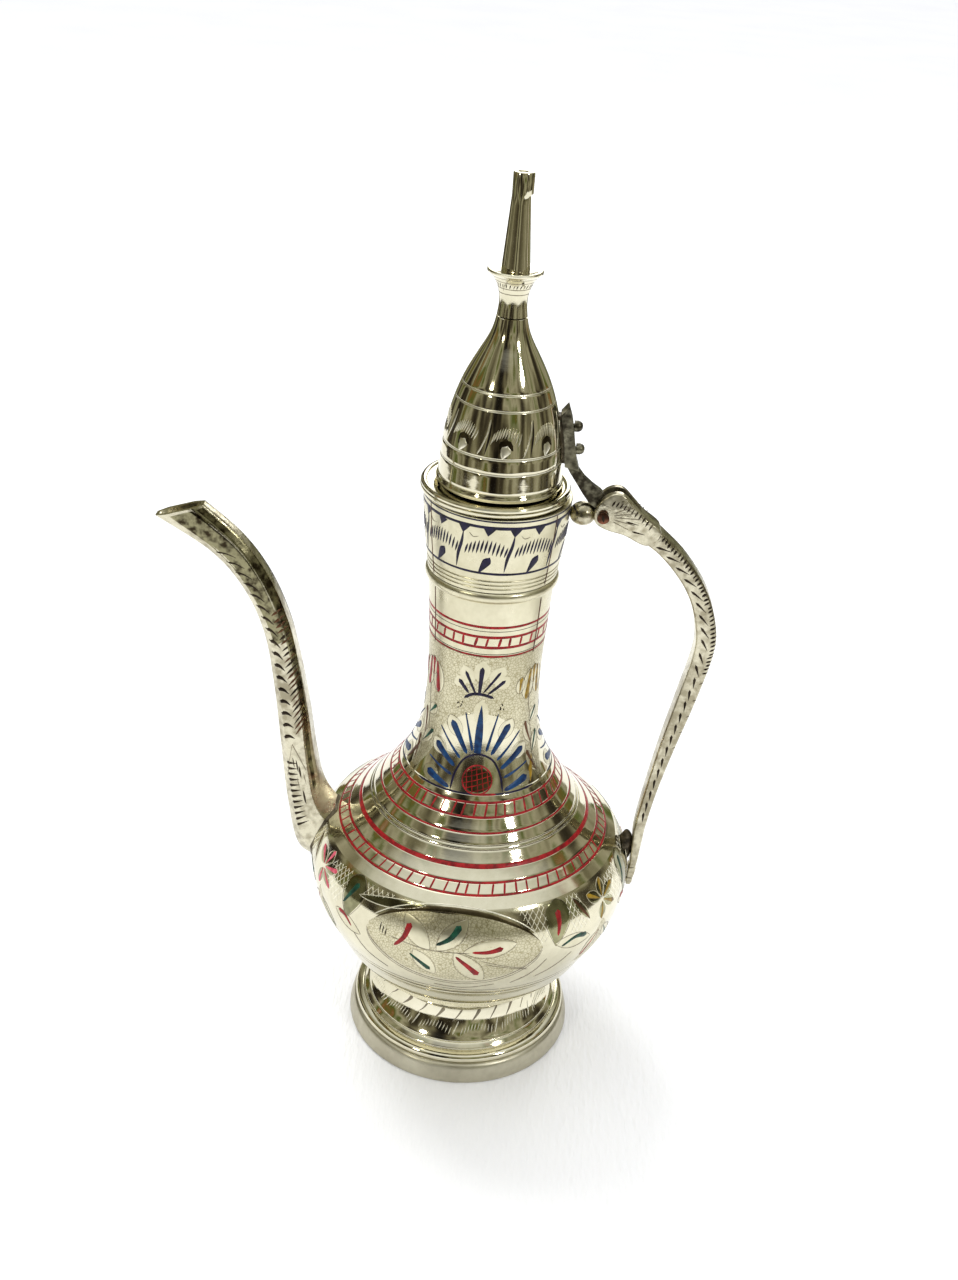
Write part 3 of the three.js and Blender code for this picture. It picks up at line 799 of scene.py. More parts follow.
def make_body(looks):
    belly_grooves = [(z, 0.7, 0.16) for z in BELLY_GROOVES] + [(26.8, 8.0, -0.3)]
    outline = sheet_outline(pot_skin, BELLY_BOTTOM_Z, BODY_SEAM_Z, SHEET, belly_grooves, BELLY_FLOOR_Z,
                            (False, False))
    turned_piece("spun_bowl", outline, looks["bright"], "bowl",
                 segments=BELLY_SEGMENTS,
                 closed=False)
    grooves = [(z, 0.35, 0.12) for z in SHOULDER_GROOVES]
    grooves += [(z, 0.75, 0.10) for z in (*LOW_LADDER, *HIGH_LADDER, UPPER_RED_Z, SUN_BASE_Z)]
    grooves += [(THICK_RED_Z, 1.1, 0.16)]
    outline = sheet_outline(pot_skin, BODY_SEAM_Z, NECK_SEAM_Z, SHEET, grooves, lips=(False, False))
    turned_piece("spun_shoulder", outline, looks["mirror"], "shoulder", segments=BELLY_SEGMENTS)
    grooves = [(z, 0.7, 0.10) for z in (*NECK_LADDER, NECK_LOW_LINE_Z, NECK_TOP_LINE_Z)]
    outline = sheet_outline(pot_skin, NECK_SEAM_Z, NECK_TOP_Z, SHEET, grooves, lips=(False, True))
    turned_piece("spun_neck", outline, looks["soft"], "neck")


def make_neck_bead(looks):
    low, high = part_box("neck_bead")
    reach = (high.x - low.x) / 2 / MM - SKIN_DROP
    bottom, top = low.z / MM - 0.12, high.z / MM + 0.12
    middle, half = (bottom + top) / 2, (top - bottom) / 2
    bulge = [(reach - 0.75 + 0.75 * cos(radians(a)), middle + half * sin(radians(a)))
             for a in range(-90, 91, 15)]
    turned_piece("neck_ring", [*bulge, (reach - 1.8, top), (reach - 1.8, bottom)], looks["soft"], "neck_bead")


def make_mouth(looks):
    grooves = [(z, 0.6, 0.08) for z in CUP_LINES] + [(z, 0.45, 0.12) for z in (119.1, 120.0, 120.9)]
    outline = sheet_outline(cup_skin, CUP_BOTTOM_Z, CUP_TOP_Z, SHEET, grooves)
    turned_piece("spun_mouth_cup", outline, looks["soft"], "mouth_cup")
    low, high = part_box("mouth_rim")
    r = (high.x - low.x) / 2 / MM - SKIN_DROP
    bottom, top = RIM_Z
    bore = MOUTH_BORE_RADIUS
    rim = [
        (bore, bottom), (r - 0.6, bottom - 0.05), (r - 0.2, bottom + 0.2), (r, bottom + 0.6),
        (r - 0.05, bottom + 0.95),
        (r - 0.3, bottom + 1.08), (r - 0.12, bottom + 1.25), (r - 0.1, bottom + 1.6), (r - 0.3, top - 0.1),
        (r - 0.65, top), (r - 1.05, top - 0.08), (r - 1.3, top - 0.34), (bore + 0.3, top - 0.42),
        (bore, top - 0.6),
    ]
    shift = [0.0 if radius <= bore + 0.31 else RIM_SHIFT for radius, _ in rim]
    turned_piece("mouth_rim_ring", rim, looks["bright"], "mouth_rim", shift=shift)


def make_lid(looks):
    grooves = [(z, 0.5, 0.13) for z in LID_GROOVES] + [(137.5, 1.0, -0.18), (138.3, 0.4, 0.08)]
    outline = sheet_outline(lid_skin, LID_BASE_Z, LID_TOP_Z, LID_SHEET, grooves)
    turned_piece("spun_lid", outline, looks["mirror"], "lid_dome", "lid")
    lip = [(9.1, 132.7), (9.5, 132.6), (9.9, 132.7), (10.9, 135.9), (11.25, 137.1), (11.25, 138.6),
           (10.3, 138.6),
           (10.3, 136.0)]
    turned_piece("spun_lid_lip", lip, looks["bright"], "lid_lip", "lid")


def make_finial(looks):
    """The flared collar and the rod, whose head has a small beak on the handle's side."""
    curve = through(cad_profile("finial_collar"), 0.3)
    top = FINIAL_DISC_Z - 0.02
    collar = [(1.0, curve[0][1] - 0.2), (curve[0][0] - 0.3, curve[0][1] - 0.25), *map(tuple, curve[:-1])]
    collar += [(5.25, 178.35), (5.05, top), (4.6, top), (4.2, top - 0.06), (3.0, top - 0.1), (1.0, top - 0.1)]
    turned_piece("finial_disc", collar, looks["bright"], "finial_collar", "lid", segments=SMALL_SEGMENTS)
    top, neck_z, neck_radius = FINIAL_TOP_Z - 0.05, 191.8, 1.74
    rod = [(2.70, 178.3), (2.36, 183.0), (neck_radius, neck_z), (neck_radius, 192.2),
           (neck_radius + 0.02, top - 0.25),
           (neck_radius - 0.15, top), (1.0, top), (0.8, top - 0.3), (0, top - 0.35)]
    rod = [*map(tuple, through(rod[:3], 0.8)), *rod[3:]]
    points, faces = lathe([(0, 178.3), *rod], SMALL_SEGMENTS, closed=False)
    beak = []
    for x, y, z in points:
        rise = min(max((z - neck_z) / 0.4, 0), 1)
        facing = max(x / max(hypot(x, y), 0.1), 0) ** 0.7 * (hypot(x, y) > 1.2)
        grain = 1 - 0.05 * abs(sin(4 * np.arctan2(y, x))) * (z < neck_z)
        beak.append((x * grain + 0.42 * rise * facing, y * grain, z))
    solid_piece("finial_spike", beak, faces, looks["mirror"], "lid", node="finial_rod")


# ---- spout and handle -----------------------------------------------------------------------
SPOUT_OUTSIDE = [
    (-31.5, 42.5), (-38.3, 45.6), (-41.0, 57.0), (-42.7, 72.0), (-44.2, 86.0), (-46.3, 98.6),
    (-50.4, 108.5), (-57.1, 116.5), (-68.4, 123.6),
]
SPOUT_INSIDE = [
    (-27.5, 52.5), (-33.1, 60.4), (-35.2, 69.0), (-36.8, 80.5), (-38.7, 91.5), (-41.1, 101.7),
    (-45.2, 111.8), (-50.8, 120.0), (-58.5, 126.8),
]
SPOUT_TAPER = [(0, 4.9), (0.25, 4.3), (0.55, 3.4), (0.8, 2.9), (1, 2.1)]
SPOUT_WALL = 0.8
HANDLE_OUTSIDE = [
    (27.2, 133.6), (33.0, 128.8), (38.8, 123.5), (43.8, 116.6), (46.7, 108.8), (47.1, 102.0), (44.9, 90.2),
    (42.3, 79.0), (39.9, 67.5), (38.5, 58.0), (38.1, 52.5), (37.7, 47.0), (36.9, 40.8),
]
HANDLE_INSIDE = [
    (24.6, 128.0), (30.9, 125.6), (36.1, 120.9), (40.3, 114.8), (42.6, 107.6), (42.8, 101.4), (40.9, 90.6),
    (38.8, 78.9), (37.1, 67.3), (36.0, 58.2), (35.9, 53.0), (36.05, 47.0), (35.8, 41.0),
]
HANDLE_TAPER = [(0, 2.6), (0.5, 2.4), (0.85, 2.0), (1, 1.3)]
HEAD_OUTLINE = [
    (19.2, 131.6), (19.4, 130.5), (20.4, 129.4), (22.6, 128.5), (25.6, 127.8), (30.4, 125.9), (32.9, 128.9),
    (29.2, 132.0), (27.2, 134.0), (25.2, 136.0), (23.6, 136.6), (21.8, 136.1), (20.2, 134.6), (19.4, 132.9),
]
SLOT_OUTLINE = [(17.0, 129.3), (23.2, 129.3), (25.9, 130.6), (30.5, 134.0), (30.5, 140.0), (17.0, 140.0)]
HEAD_HALF_WIDTH = 2.68
ARM_SOLDER_AND_SHADE_HALF_WIDTH = 1.35
SLOT_HALF_WIDTH = 1.15
PIVOT = (21.0, 131.6)
PIN_RADIUS = 0.75
PIN_HOLE_RADIUS = 1.05
PIN_HEAD_RADIUS = 1.2
PIN_END = 3.68
LUG_REACH = 0.9           # how far the lug is run into the cup and the cheeks at each end


class Bar:
    """A flat-sided bar between two side-view edges. Its places are (share of the depth, from -1
    at the outer edge to 1 at the inner one; length along the bar in mm)."""

    def __init__(self, outside, inside, taper, flat, steps, drop=0.03):
        self.flat = flat
        self.outer, self.inner = even_spline(outside, steps), even_spline(inside, steps)
        self.middle = (self.outer + self.inner) / 2
        gap = self.inner - self.outer
        depth = np.linalg.norm(gap, axis=1)
        self.over = gap / depth[:, None]
        self.depth = depth / 2 - drop
        self.width = even_spline(taper, steps)[:, 1] - drop
        self.length = np.concatenate([[0], np.cumsum(np.linalg.norm(np.diff(self.middle, axis=0), axis=1))])

    def ring(self, k, shrink=0.0, roundness=0.3):
        """The section at step k: a flat-sided octagon with rounded corners."""
        flat, depth, width = self.flat, self.depth[k] - shrink, self.width[k] - shrink
        corners = [(-1, -flat), (-1, flat), (-flat, 1), (flat, 1), (1, flat), (1, -flat), (flat, -1),
                   (-flat, -1)]
        corners = [Vector((c * depth, w * width)) for c, w in corners]
        ring = []
        for i, corner in enumerate(corners):
            before, after = corners[i - 1], corners[(i + 1) % len(corners)]
            a = corner + (before - corner).normalized() * min(roundness, (before - corner).length * 0.4)
            b = corner + (after - corner).normalized() * min(roundness, (after - corner).length * 0.4)
            ring += [a, corner * 0.5 + (a + b) * 0.25, b]
        middle, over = self.middle[k], self.over[k]
        return [(middle[0] + over[0] * c, y, middle[1] + over[1] * c) for c, y in ring]

    def across(self, v):
        return np.interp(v, self.length, self.depth)

    def place(self, share, v, lift):
        """Points on the near side (-Y). The chamfers carry it over to the outer and inner faces."""
        read = [np.interp(v, self.length, values) for values in (
            self.middle[:, 0], self.middle[:, 1], self.over[:, 0], self.over[:, 1], self.depth, self.width)]
        x, z, over_x, over_z, depth, width = read
        past = np.clip(np.abs(share) - self.flat, 0, None)
        y = -width * (1 - past)
        slant = np.hypot(width, depth)
        out_over = np.where(past > 0, np.sign(share) * width / slant, 0.0)
        out_y = np.where(past > 0, -depth / slant, -1.0)
        reach = share * depth + lift * out_over
        return np.stack([x + over_x * reach, y + lift * out_y, z + over_z * reach], axis=-1)


SPOUT_STEPS = 112
HANDLE_STEPS = 140
spout_bar = Bar(SPOUT_OUTSIDE, SPOUT_INSIDE, SPOUT_TAPER, 0.55, SPOUT_STEPS)
handle_bar = Bar(HANDLE_OUTSIDE, HANDLE_INSIDE, HANDLE_TAPER, 0.82, HANDLE_STEPS)


def body_cutter():
    """A solid of the bowl and shoulder, to trim what is fitted against them."""
    outline = [(radius + 0.02, z) for radius, z in skin_profile(pot_skin, 30.0, 76.0, step=1.5)]
    return helper("body_cutter", *lathe([(0, 30.0), *outline, (0, 76.0)], 160, closed=False))


def make_spout(looks):
    outer = [spout_bar.ring(k) for k in range(SPOUT_STEPS + 1)]
    inner = [spout_bar.ring(k, SPOUT_WALL) for k in range(SPOUT_STEPS, -1, -1)]
    points, faces = loft([*outer, *inner], closed=True)
    piece = solid_piece("swan_neck_spout", points, faces, looks["cast"], "pot", crease=24.0)
    combine(piece, "DIFFERENCE", body_cutter())
    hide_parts("spout")


def seam_loop(bar, lift):
    """Where the bar's surface lines meet the bowl, going once round the bar."""
    rings = np.array([bar.ring(k) for k in range(40)])
    loop = []
    for line in range(rings.shape[1]):
        track = rings[:, line]
        clear = np.hypot(track[:, 0], track[:, 1]) - np.interp(track[:, 2], pot_skin.z, pot_skin.radius)
        k = int(np.argmax(clear > 0))
        share = -clear[k - 1] / (clear[k] - clear[k - 1]) if k else 0.0
        at = track[k - 1] + (track[k] - track[k - 1]) * share if k else track[0]
        away = at[0] / max(hypot(at[0], at[1]), 1e-6)
        loop.append((at[0] + lift * away, at[1], at[2]))
    return loop


def make_spout_braze(looks):
    """The uneven fillet of braze round the spout's root."""
    loop = [Vector(p) for p in seam_loop(spout_bar, 0.05)]
    uneven = random.Random(3)
    rings = []
    middle = sum(loop, Vector()) / len(loop)
    for i, at in enumerate(loop):
        along = (loop[(i + 1) % len(loop)] - loop[i - 1]).normalized()
        out = (at - middle).normalized()
        side = along.cross(out).normalized()
        thick = 0.42 + 0.16 * uneven.random()
        rings.append([at + (out * cos(a) + side * sin(a)) * thick
                      for a in (2 * pi * k / 10 for k in range(10))])
    points, faces = loft(rings, closed=True)
    piece = solid_piece("spout_braze", points, faces, looks["braze"], "pot", crease=80.0)
    subdivide(piece, 2)


def subdivide(piece, levels):
    smooth = piece.modifiers.new("smooth", "SUBSURF")
    smooth.levels = smooth.render_levels = levels
    bpy.context.view_layer.update()
    bake_modifiers(piece, crease=80.0)


def slab(outline, half_width):
    """Points and faces of a plate with the given side view, centred on Y = 0."""
    count = len(outline)
    points = [(x, y, z) for y in (-half_width, half_width) for x, z in outline]
    faces = [tuple(range(count)), tuple(reversed(range(count, 2 * count)))]
    faces += [(i, i + count, (i + 1) % count + count, (i + 1) % count) for i in range(count)]
    return points, faces


def closed_spline(points, per_span):
    """A smooth closed outline through the points."""
    n = len(points)
    wrapped = [points[-1], *points, points[0], points[1]]
    curve = even_spline(wrapped, (n + 2) * per_span)
    return [tuple(p) for p in curve[per_span:per_span * (n + 1)]]


def pin_along_y(radius, half_length, segments=48):
    points, faces = lathe([(0, -half_length), (radius, -half_length), (radius, half_length),
                           (0, half_length)],
                          segments, closed=False)
    return [(PIVOT[0] + x, z, PIVOT[1] + y) for x, y, z in points], faces


def make_handle(looks):
    """The strap, swelling into the two cheeks that hold the hinge pin."""
    head = helper("head", *slab(closed_spline(HEAD_OUTLINE, 6), HEAD_HALF_WIDTH))
    rounded(head, 0.4, 3, 50.0)
    points, faces = loft([handle_bar.ring(k, roundness=0.22) for k in range(HANDLE_STEPS + 1)])
    piece = solid_piece("scroll_handle", points, faces, looks["cast"], "pot", crease=28.0)
    combine(piece, "UNION", head)
    slot = helper("slot", *slab(SLOT_OUTLINE, SLOT_HALF_WIDTH))
    hole = helper("hole", *pin_along_y(PIN_HOLE_RADIUS, HEAD_HALF_WIDTH + 1))
    combine(piece, "DIFFERENCE", slot, hole)
    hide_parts("handle")


TAIL_RIDGES = (1.5, 2.9, 4.3)          # mm back from the end of the handle
RIDGE_SECTION = ((-2, 0.12), (-1, -0.16), (1, -0.16), (2, 0.12))       # step along, mm of shrink


def make_tail_ridges(looks):
    """Small ridges round the tail of the handle."""
    points, faces = [], []
    for back in TAIL_RIDGES:
        k = int(np.searchsorted(handle_bar.length, handle_bar.length[-1] - back))
        rings = [handle_bar.ring(min(k + step, HANDLE_STEPS), shrink) for step, shrink in RIDGE_SECTION]
        ridge_points, ridge_faces = loft(rings)
        faces += [tuple(c + len(points) for c in face) for face in ridge_faces]
        points += ridge_points
    solid_piece("handle_tail_ridges", points, faces, looks["cast"], "pot", crease=50.0)


def make_hinge(looks):
    """Pin, lug and rivets. The lid's arm keeps its CAD shape, and its edges are rounded."""
    outline = [
        (0, -PIN_END), (0.8, -PIN_END), (1.2, -PIN_END + 0.12), (PIN_HEAD_RADIUS, -PIN_END + 0.45),
        (PIN_HEAD_RADIUS - 0.1, -HEAD_HALF_WIDTH - 0.08), (PIN_RADIUS, -HEAD_HALF_WIDTH + 0.05),
    ]
    outline += [(radius, -y) for radius, y in reversed(outline)]
    points, faces = lathe(outline, 40, closed=False)
    hammered = [(PIVOT[0] + x * (1 + 0.07 * sin(3 * np.arctan2(y, x) + z)), z, PIVOT[1] + y) for x, y,
                z in points]
    solid_piece("hinge_pin_peened", hammered, faces, looks["copper"], "pot", node="hinge_pin")

    low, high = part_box("hinge_lug")
    centre = ((low.x + high.x) / 2 - AXIS_X, 0, (low.z + high.z) / 2)
    radii = [(h - l) / 2 / MM for l, h in zip(low, high)]
    radii = [radii[0] + LUG_REACH, radii[1] * 1.08, radii[2] * 1.16]
    points, faces = ball([c / MM for c in centre], radii, rings=28, segments=56)
    solid_piece("hinge_lug_ball", points, faces, looks["cast"], "pot", node="hinge_lug")

    for node in ("arm_rivet_upper", "arm_rivet_lower"):
        low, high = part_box(node)
        radius = (high.z - low.z) / 2 / MM - 0.03
        x = (high.x - AXIS_X) / MM
        dome = [(0, x - 0.03), (0.35, x - 0.07), (0.7, x - 0.22), (0.95, x - 0.5), (radius, x - 1.0),
                (radius - 0.02, x - 1.7), (0.5, x - 1.75), (0.5, x - 4.3), (0.95, x - 4.4), (0.9, x - 4.9),
                (0, x - 5.0)]
        points, faces = lathe(dome, 40, closed=False)
        middle = (low.z + high.z) / 2 / MM
        placed = [(z, y, middle + px) for px, y, z in points]
        name = node.replace("arm_rivet", "peened_rivet")
        solid_piece(name, placed, faces, looks["dull_cast"], "lid", node=node)

    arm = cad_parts["hinge_arm"]
    arm.data.shade_smooth()
    arm.data.set_sharp_from_angle(angle=radians(30))
    edge = arm.modifiers.new("rounds", "BEVEL")
    edge.width, edge.segments = 0.35 * MM, 3
    edge.limit_method, edge.angle_limit = "ANGLE", radians(40)
    dress("hinge_arm", looks["dull_cast"])


def make_arm_solder_and_painted_shade(looks):
    """The seam of solder between the lid and the arm that lies along it, dark as painted shade of the gap
    between them.
    """
    outline = [(float(np.interp(z, lid_skin.z, lid_skin.radius)) - 0.15, z)
               for z in np.linspace(141.6, 151.2, 9)]
    outline += [(11.1, 151.2), (11.55, 148.8), (12.1, 145.4), (12.4, 142.4), (12.5, 141.6)]
    points, faces = slab(outline, ARM_SOLDER_AND_SHADE_HALF_WIDTH)
    piece = solid_piece("arm_solder_and_painted_shade", points, faces, looks["braze"], "lid", crease=50.0)
    rounded(piece, 0.12, 2, 40.0)


def make_handle_braze_and_painted_shade(looks):
    """The uneven lump of braze between the bowl and the handle's tail, dark partly as painted shade of the
    crevice there.
    """
    low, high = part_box("handle_stub")
    middle = Vector((((low.x + high.x) / 2 - AXIS_X) / MM, 0, (low.z + high.z) / 2 / MM))
    middle.z -= 0.6
    points, faces = ball(middle, (1.75, 1.15, 4.0), rings=28, segments=48)
    rough = random.Random(8)
    waves = [(rough.uniform(0.8, 2.4), rough.uniform(0, 6.3), rough.uniform(0.8, 2.4)) for _ in range(6)]
    lumpy = []
    for x, y, z in points:
        swell = 1 + 0.05 * sum(sin(a * x + b + c * z) * cos(c * y) for a, b, c in waves) / 2
        at = middle + (Vector((x, y, z)) - middle) * swell
        lumpy.append(tuple(at))
    solid_piece("handle_braze", lumpy, faces, looks["braze"], "pot", node="handle_stub")


def dress(node, look):
    """Gives a CAD node that stays in view its finish."""
    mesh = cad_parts[node].data
    mesh.materials.clear()
    mesh.materials.append(look)
    for face in mesh.polygons:
        face.material_index = 0


# ---- engraving and enamel -------------------------------------------------------------------
hand = random.Random(11)           # the engraver's unevenness


def shaky(amount):
    return hand.uniform(-amount, amount)


def paint_band(piece, look, low, high):
    """Gives the faces between two heights, in mm, another finish."""
    mesh = piece.data
    mesh.materials.append(look)
    index = len(mesh.materials) - 1
    for face in mesh.polygons:
        if low < face.center.z / MM < high:
            face.material_index = index


def ladder(inlay, low, high, count, lean=0.5, width=0.48):
    """Short rungs between two lines round the pot. "lean" is in mm."""
    for k in range(count):
        start = 360.0 * k / count + shaky(0.6)
        path = heights(pot_skin, [(start, low), (start, high)])
        tilt = (lean + shaky(0.25)) / pot_skin.across(path[1][1])
        inlay.lay(pot_skin, [path[0], (path[1][0] + tilt, path[1][1])], width + shaky(0.08), lift=0.05)


def net(inlay, skin, corners, pitch=1.15, angles=(58, -62), width=0.2):
    """Criss-cross cuts that fill a convex patch, given by its corners as (azimuth, z)."""
    at = heights(skin, corners)
    v0 = sum(v for _, v in at) / len(at)
    u0 = sum(u for u, _ in at) / len(at)
    scale = float(skin.across(v0))
    flat = [Vector(((u - u0) * scale, v - v0)) for u, v in at]
    turn = 1 if sum(a.cross(b) for a, b in zip(flat, flat[1:] + flat[:1])) > 0 else -1
    reach = max(p.length for p in flat)
    for angle in angles:
        along = Vector((cos(radians(angle)), sin(radians(angle))))
        side = Vector((-along.y, along.x))
        for step in range(-int(reach / pitch), int(reach / pitch) + 1):
            start = side * (step * pitch + shaky(0.12))
            enter, leave = -reach, reach
            for a, b in zip(flat, flat[1:] + flat[:1]):
                inward = Vector((-(b - a).y, (b - a).x)) * turn
                rate, gap = along.dot(inward), (start - a).dot(inward)
                if abs(rate) < 1e-9:
                    leave = leave if gap > 0 else enter
                elif rate > 0:
                    enter = max(enter, -gap / rate)
                else:
                    leave = min(leave, -gap / rate)
            if leave - enter > 0.7:
                ends = [start + along * enter, start + along * leave]
                inlay.lay(skin, [(u0 + p.x / scale, v0 + p.y) for p in ends], width, lift=0.03)


def outline_of(skin, path, width, shape, count=26):
    """The two edges of a patch laid along a straight path, as paths of their own."""
    (u0, v0), (u1, v1) = path
    scale = float(skin.across((v0 + v1) / 2))
    along = Vector(((u1 - u0) * scale, v1 - v0))
    side = Vector((-along.y, along.x)).normalized()
    edges = []
    for sign in (1, -1):
        edge = []
        for k in range(count + 1):
            t = k / count
            off = side * sign * width / 2 * float(shape(np.array(t)))
            edge.append((u0 + (along.x * t + off.x) / scale, v0 + along.y * t + off.y))
        edges.append(edge)
    return edges


def petal(sets, skin, start, end, width, fill, edge="grey_cut", shape=leaf_shape, edge_width=0.16):
    """A smooth leaf or petal with a cut line round it. "start" and "end" are (azimuth, z)."""
    path = heights(skin, [start, end])
    if fill:
        sets[fill].lay(skin, path, width, shape, lift=0.03, across=8, power=8, step=0.45)
    if edge:
        for side in outline_of(skin, path, width, shape):
            sets[edge].lay(skin, side, edge_width, lift=0.05)


class Palette(dict):
    """The inlay of one region, one piece for each finish, made when it is first used."""

    def __init__(self, region, looks, body="pot", slot="engraved_plate"):
        super().__init__()
        self.region, self.looks, self.body, self.slot = region, looks, body, slot

    def __missing__(self, finish):
        self[finish] = Inlay(f"{self.region}_{finish}", self.looks[finish], self.body)
        return self[finish]

    def finish(self):
        enamels = ("red", "rose", "navy", "blue", "green", "gold")
        for finish, inlay in self.items():
            inlay.finish(None if finish in enamels else self.slot)


def decorate_shoulder(looks):
    sets = Palette("shoulder", looks, slot="bright_plate")
    red = sets["red"]
    for z in (*LOW_LADDER, *HIGH_LADDER):
        red.ring(pot_skin, z, 0.58)
    red.ring(pot_skin, UPPER_RED_Z, 0.46)
    red.ring(pot_skin, THICK_RED_Z, 1.25)
    ladder(red, *LOW_LADDER, 72)
    ladder(red, *HIGH_LADDER, 50)
    for z in SHOULDER_GROOVES:
        sets["grey_cut"].ring(pot_skin, z, 0.16, lift=-0.02)
    sets.finish()


SUN_CENTRE = 1.3
SUNS = 3
THIRD = 360.0 / SUNS                       # the patterns of neck and belly come three times round
SEAM_AZIMUTHS = (-60.0, 53.0, 176.0)       # the dark lines down the neck and the cup
# Rays of the sun on each side, as azimuth and height of root and tip, with their width.
FAT_RAYS = [((11.5, 80.3), (29.5, 86.9)), ((20.5, 77.2), (44.0, 80.9)), ((22.0, 73.0), (44.5, 74.7))]
THIN_RAYS = [((6.5, 81.0), (16.8, 89.6)), ((16.5, 79.0), (42.5, 84.6)), ((21.8, 75.4), (48.0, 77.4))]
ARCH = [(-20.3, 72.7), (-19.0, 76.2), (-12.0, 79.3), (0.0, 80.4), (12.0, 79.3), (19.0, 76.2), (20.3, 72.7)]
SUN_DISC = (0.0, 75.2)
SUN_DISC_RADIUS = 3.1
FAN = [((-13.5, 94.2), (-24.5, 97.0), 1.4), ((-6.0, 94.0), (-18.0, 99.3), 1.0),
       ((-3.0, 93.9), (-1.5, 100.7), 1.45),
       ((1.0, 94.6), (17.0, 99.6), 0.9), ((5.5, 94.3), (22.5, 97.5), 1.2)]
FAN_BASE = [(-18.0, 92.8), (-10.5, 94.0), (-3.0, 94.25), (4.5, 94.0), (12.0, 93.4)]


def turned_to(centre, path):
    return [(centre + a, z) for a, z in path]


def half_disc(t):
    return np.sqrt(np.clip(1 - t ** 2, 0, 1))


def make_sun(sets, centre):
    ground = heights(pot_skin, turned_to(centre, [(0, SUN_BASE_Z), (0, 90.0)]))
    sets["bright"].lay(pot_skin, ground, 22.5, half_disc, lift=0.02, across=40, power=16, step=0.6)
    for sign in (-1, 1):
        for root, tip in FAT_RAYS:
            ends = [(centre + sign * a + shaky(0.5), z) for a, z in (root, tip)]
            far = (ends[1][0] + (ends[1][0] - ends[0][0]) * 0.16,
                   ends[1][1] + (ends[1][1] - ends[0][1]) * 0.16)
            middle = tuple((p + q) / 2 for p, q in zip(*ends))
            petal(sets, pot_skin, middle, far, 3.4, "soft", "grey_cut", oval_shape, 0.1)
            sets["blue"].cut(pot_skin, ends, 2.1, club_shape, lift=0.1)
        for root, tip in THIN_RAYS:
            ends = [(centre + sign * a + shaky(0.5), z) for a, z in (root, tip)]
            sets["blue"].cut(pot_skin, ends, 0.8, lambda t: (1 - 0.6 * t) * line_shape(t), lift=0.1)
    middle_ray = heights(pot_skin, turned_to(centre, [(-1.6, 80.6), (-0.8, 91.7)]))
    petal(sets, pot_skin, (centre - 1.2, 86.5), (centre - 0.8, 93.0), 3.4, "soft", None, oval_shape)
    sets["blue"].lay(pot_skin, middle_ray, 1.9, lambda t: np.sin(pi * (0.3 + 0.7 * t)) ** 0.8, lift=0.1)
    sets["navy"].cut(pot_skin, turned_to(centre, ARCH), 0.55)
    base = heights(pot_skin, turned_to(centre, [(-50, SUN_BASE_Z), (-25, SUN_BASE_Z), (25, SUN_BASE_Z),
                                                (48, SUN_BASE_Z)]))
    sets["navy"].lay(pot_skin, base, 0.5, lift=0.03)
    sets["red"].cut(pot_skin, turned_to(centre, [(-4, SUN_BASE_Z), (15, SUN_BASE_Z)]), 0.55, lift=0.05)
    make_sun_disc(sets, centre + SUN_DISC[0], float(pot_skin.at(SUN_DISC[1])))


def make_sun_disc(sets, azimuth, v):
    scale = float(pot_skin.across(v))

    def spot(x, y):
        return (azimuth + x / scale, v + y)
    r = SUN_DISC_RADIUS
    sets["umber"].lay(pot_skin, [spot(-r, 0), spot(r, 0)], 2 * r,
                      lambda t: np.sqrt(np.clip(1 - (2 * t - 1) ** 2, 0, 1)), lift=0.05, across=12, power=10)
    rim = [spot(r * sin(radians(a)), r * cos(radians(a))) for a in range(0, 361, 15)]
    sets["red"].lay(pot_skin, rim, 0.38, lambda t: np.ones_like(t), lift=0.09)
    for angle in (18, 96):
        along = (cos(radians(angle)), sin(radians(angle)))
        for k in range(-2, 3):
            off = k * r / 2.8
            half = (r * r - off * off) ** 0.5
            ends = [spot(-along[1] * off + along[0] * s * half, along[0] * off + along[1] * s * half)
                    for s in (-1, 1)]
            sets["red"].lay(pot_skin, ends, 0.22, lift=0.09)


def make_fan(sets, centre):
    for root, tip, width in FAN:
        ends = turned_to(centre, [root, tip])
        middle = tuple(p * 0.55 + q * 0.45 for p, q in zip(*ends))
        far = (ends[1][0] + (ends[1][0] - ends[0][0]) * 0.22, ends[1][1] + (ends[1][1] - ends[0][1]) * 0.22)
        petal(sets, pot_skin, middle, far, 3.6, "soft", None, oval_shape)
        sets["navy"].cut(pot_skin, ends, width, club_shape)
    sets["navy"].cut(pot_skin, turned_to(centre, FAN_BASE), 0.8)
    for side in (-22.0, 21.0):
        for _ in range(6):
            at = (centre + side + shaky(3.2), 91.2 + shaky(1.0))
            end = (at[0] + shaky(1.2), at[1] - 0.5)
            sets["dark_cut"].cut(pot_skin, [at, end], 0.3, leaf_shape, step=0.2)


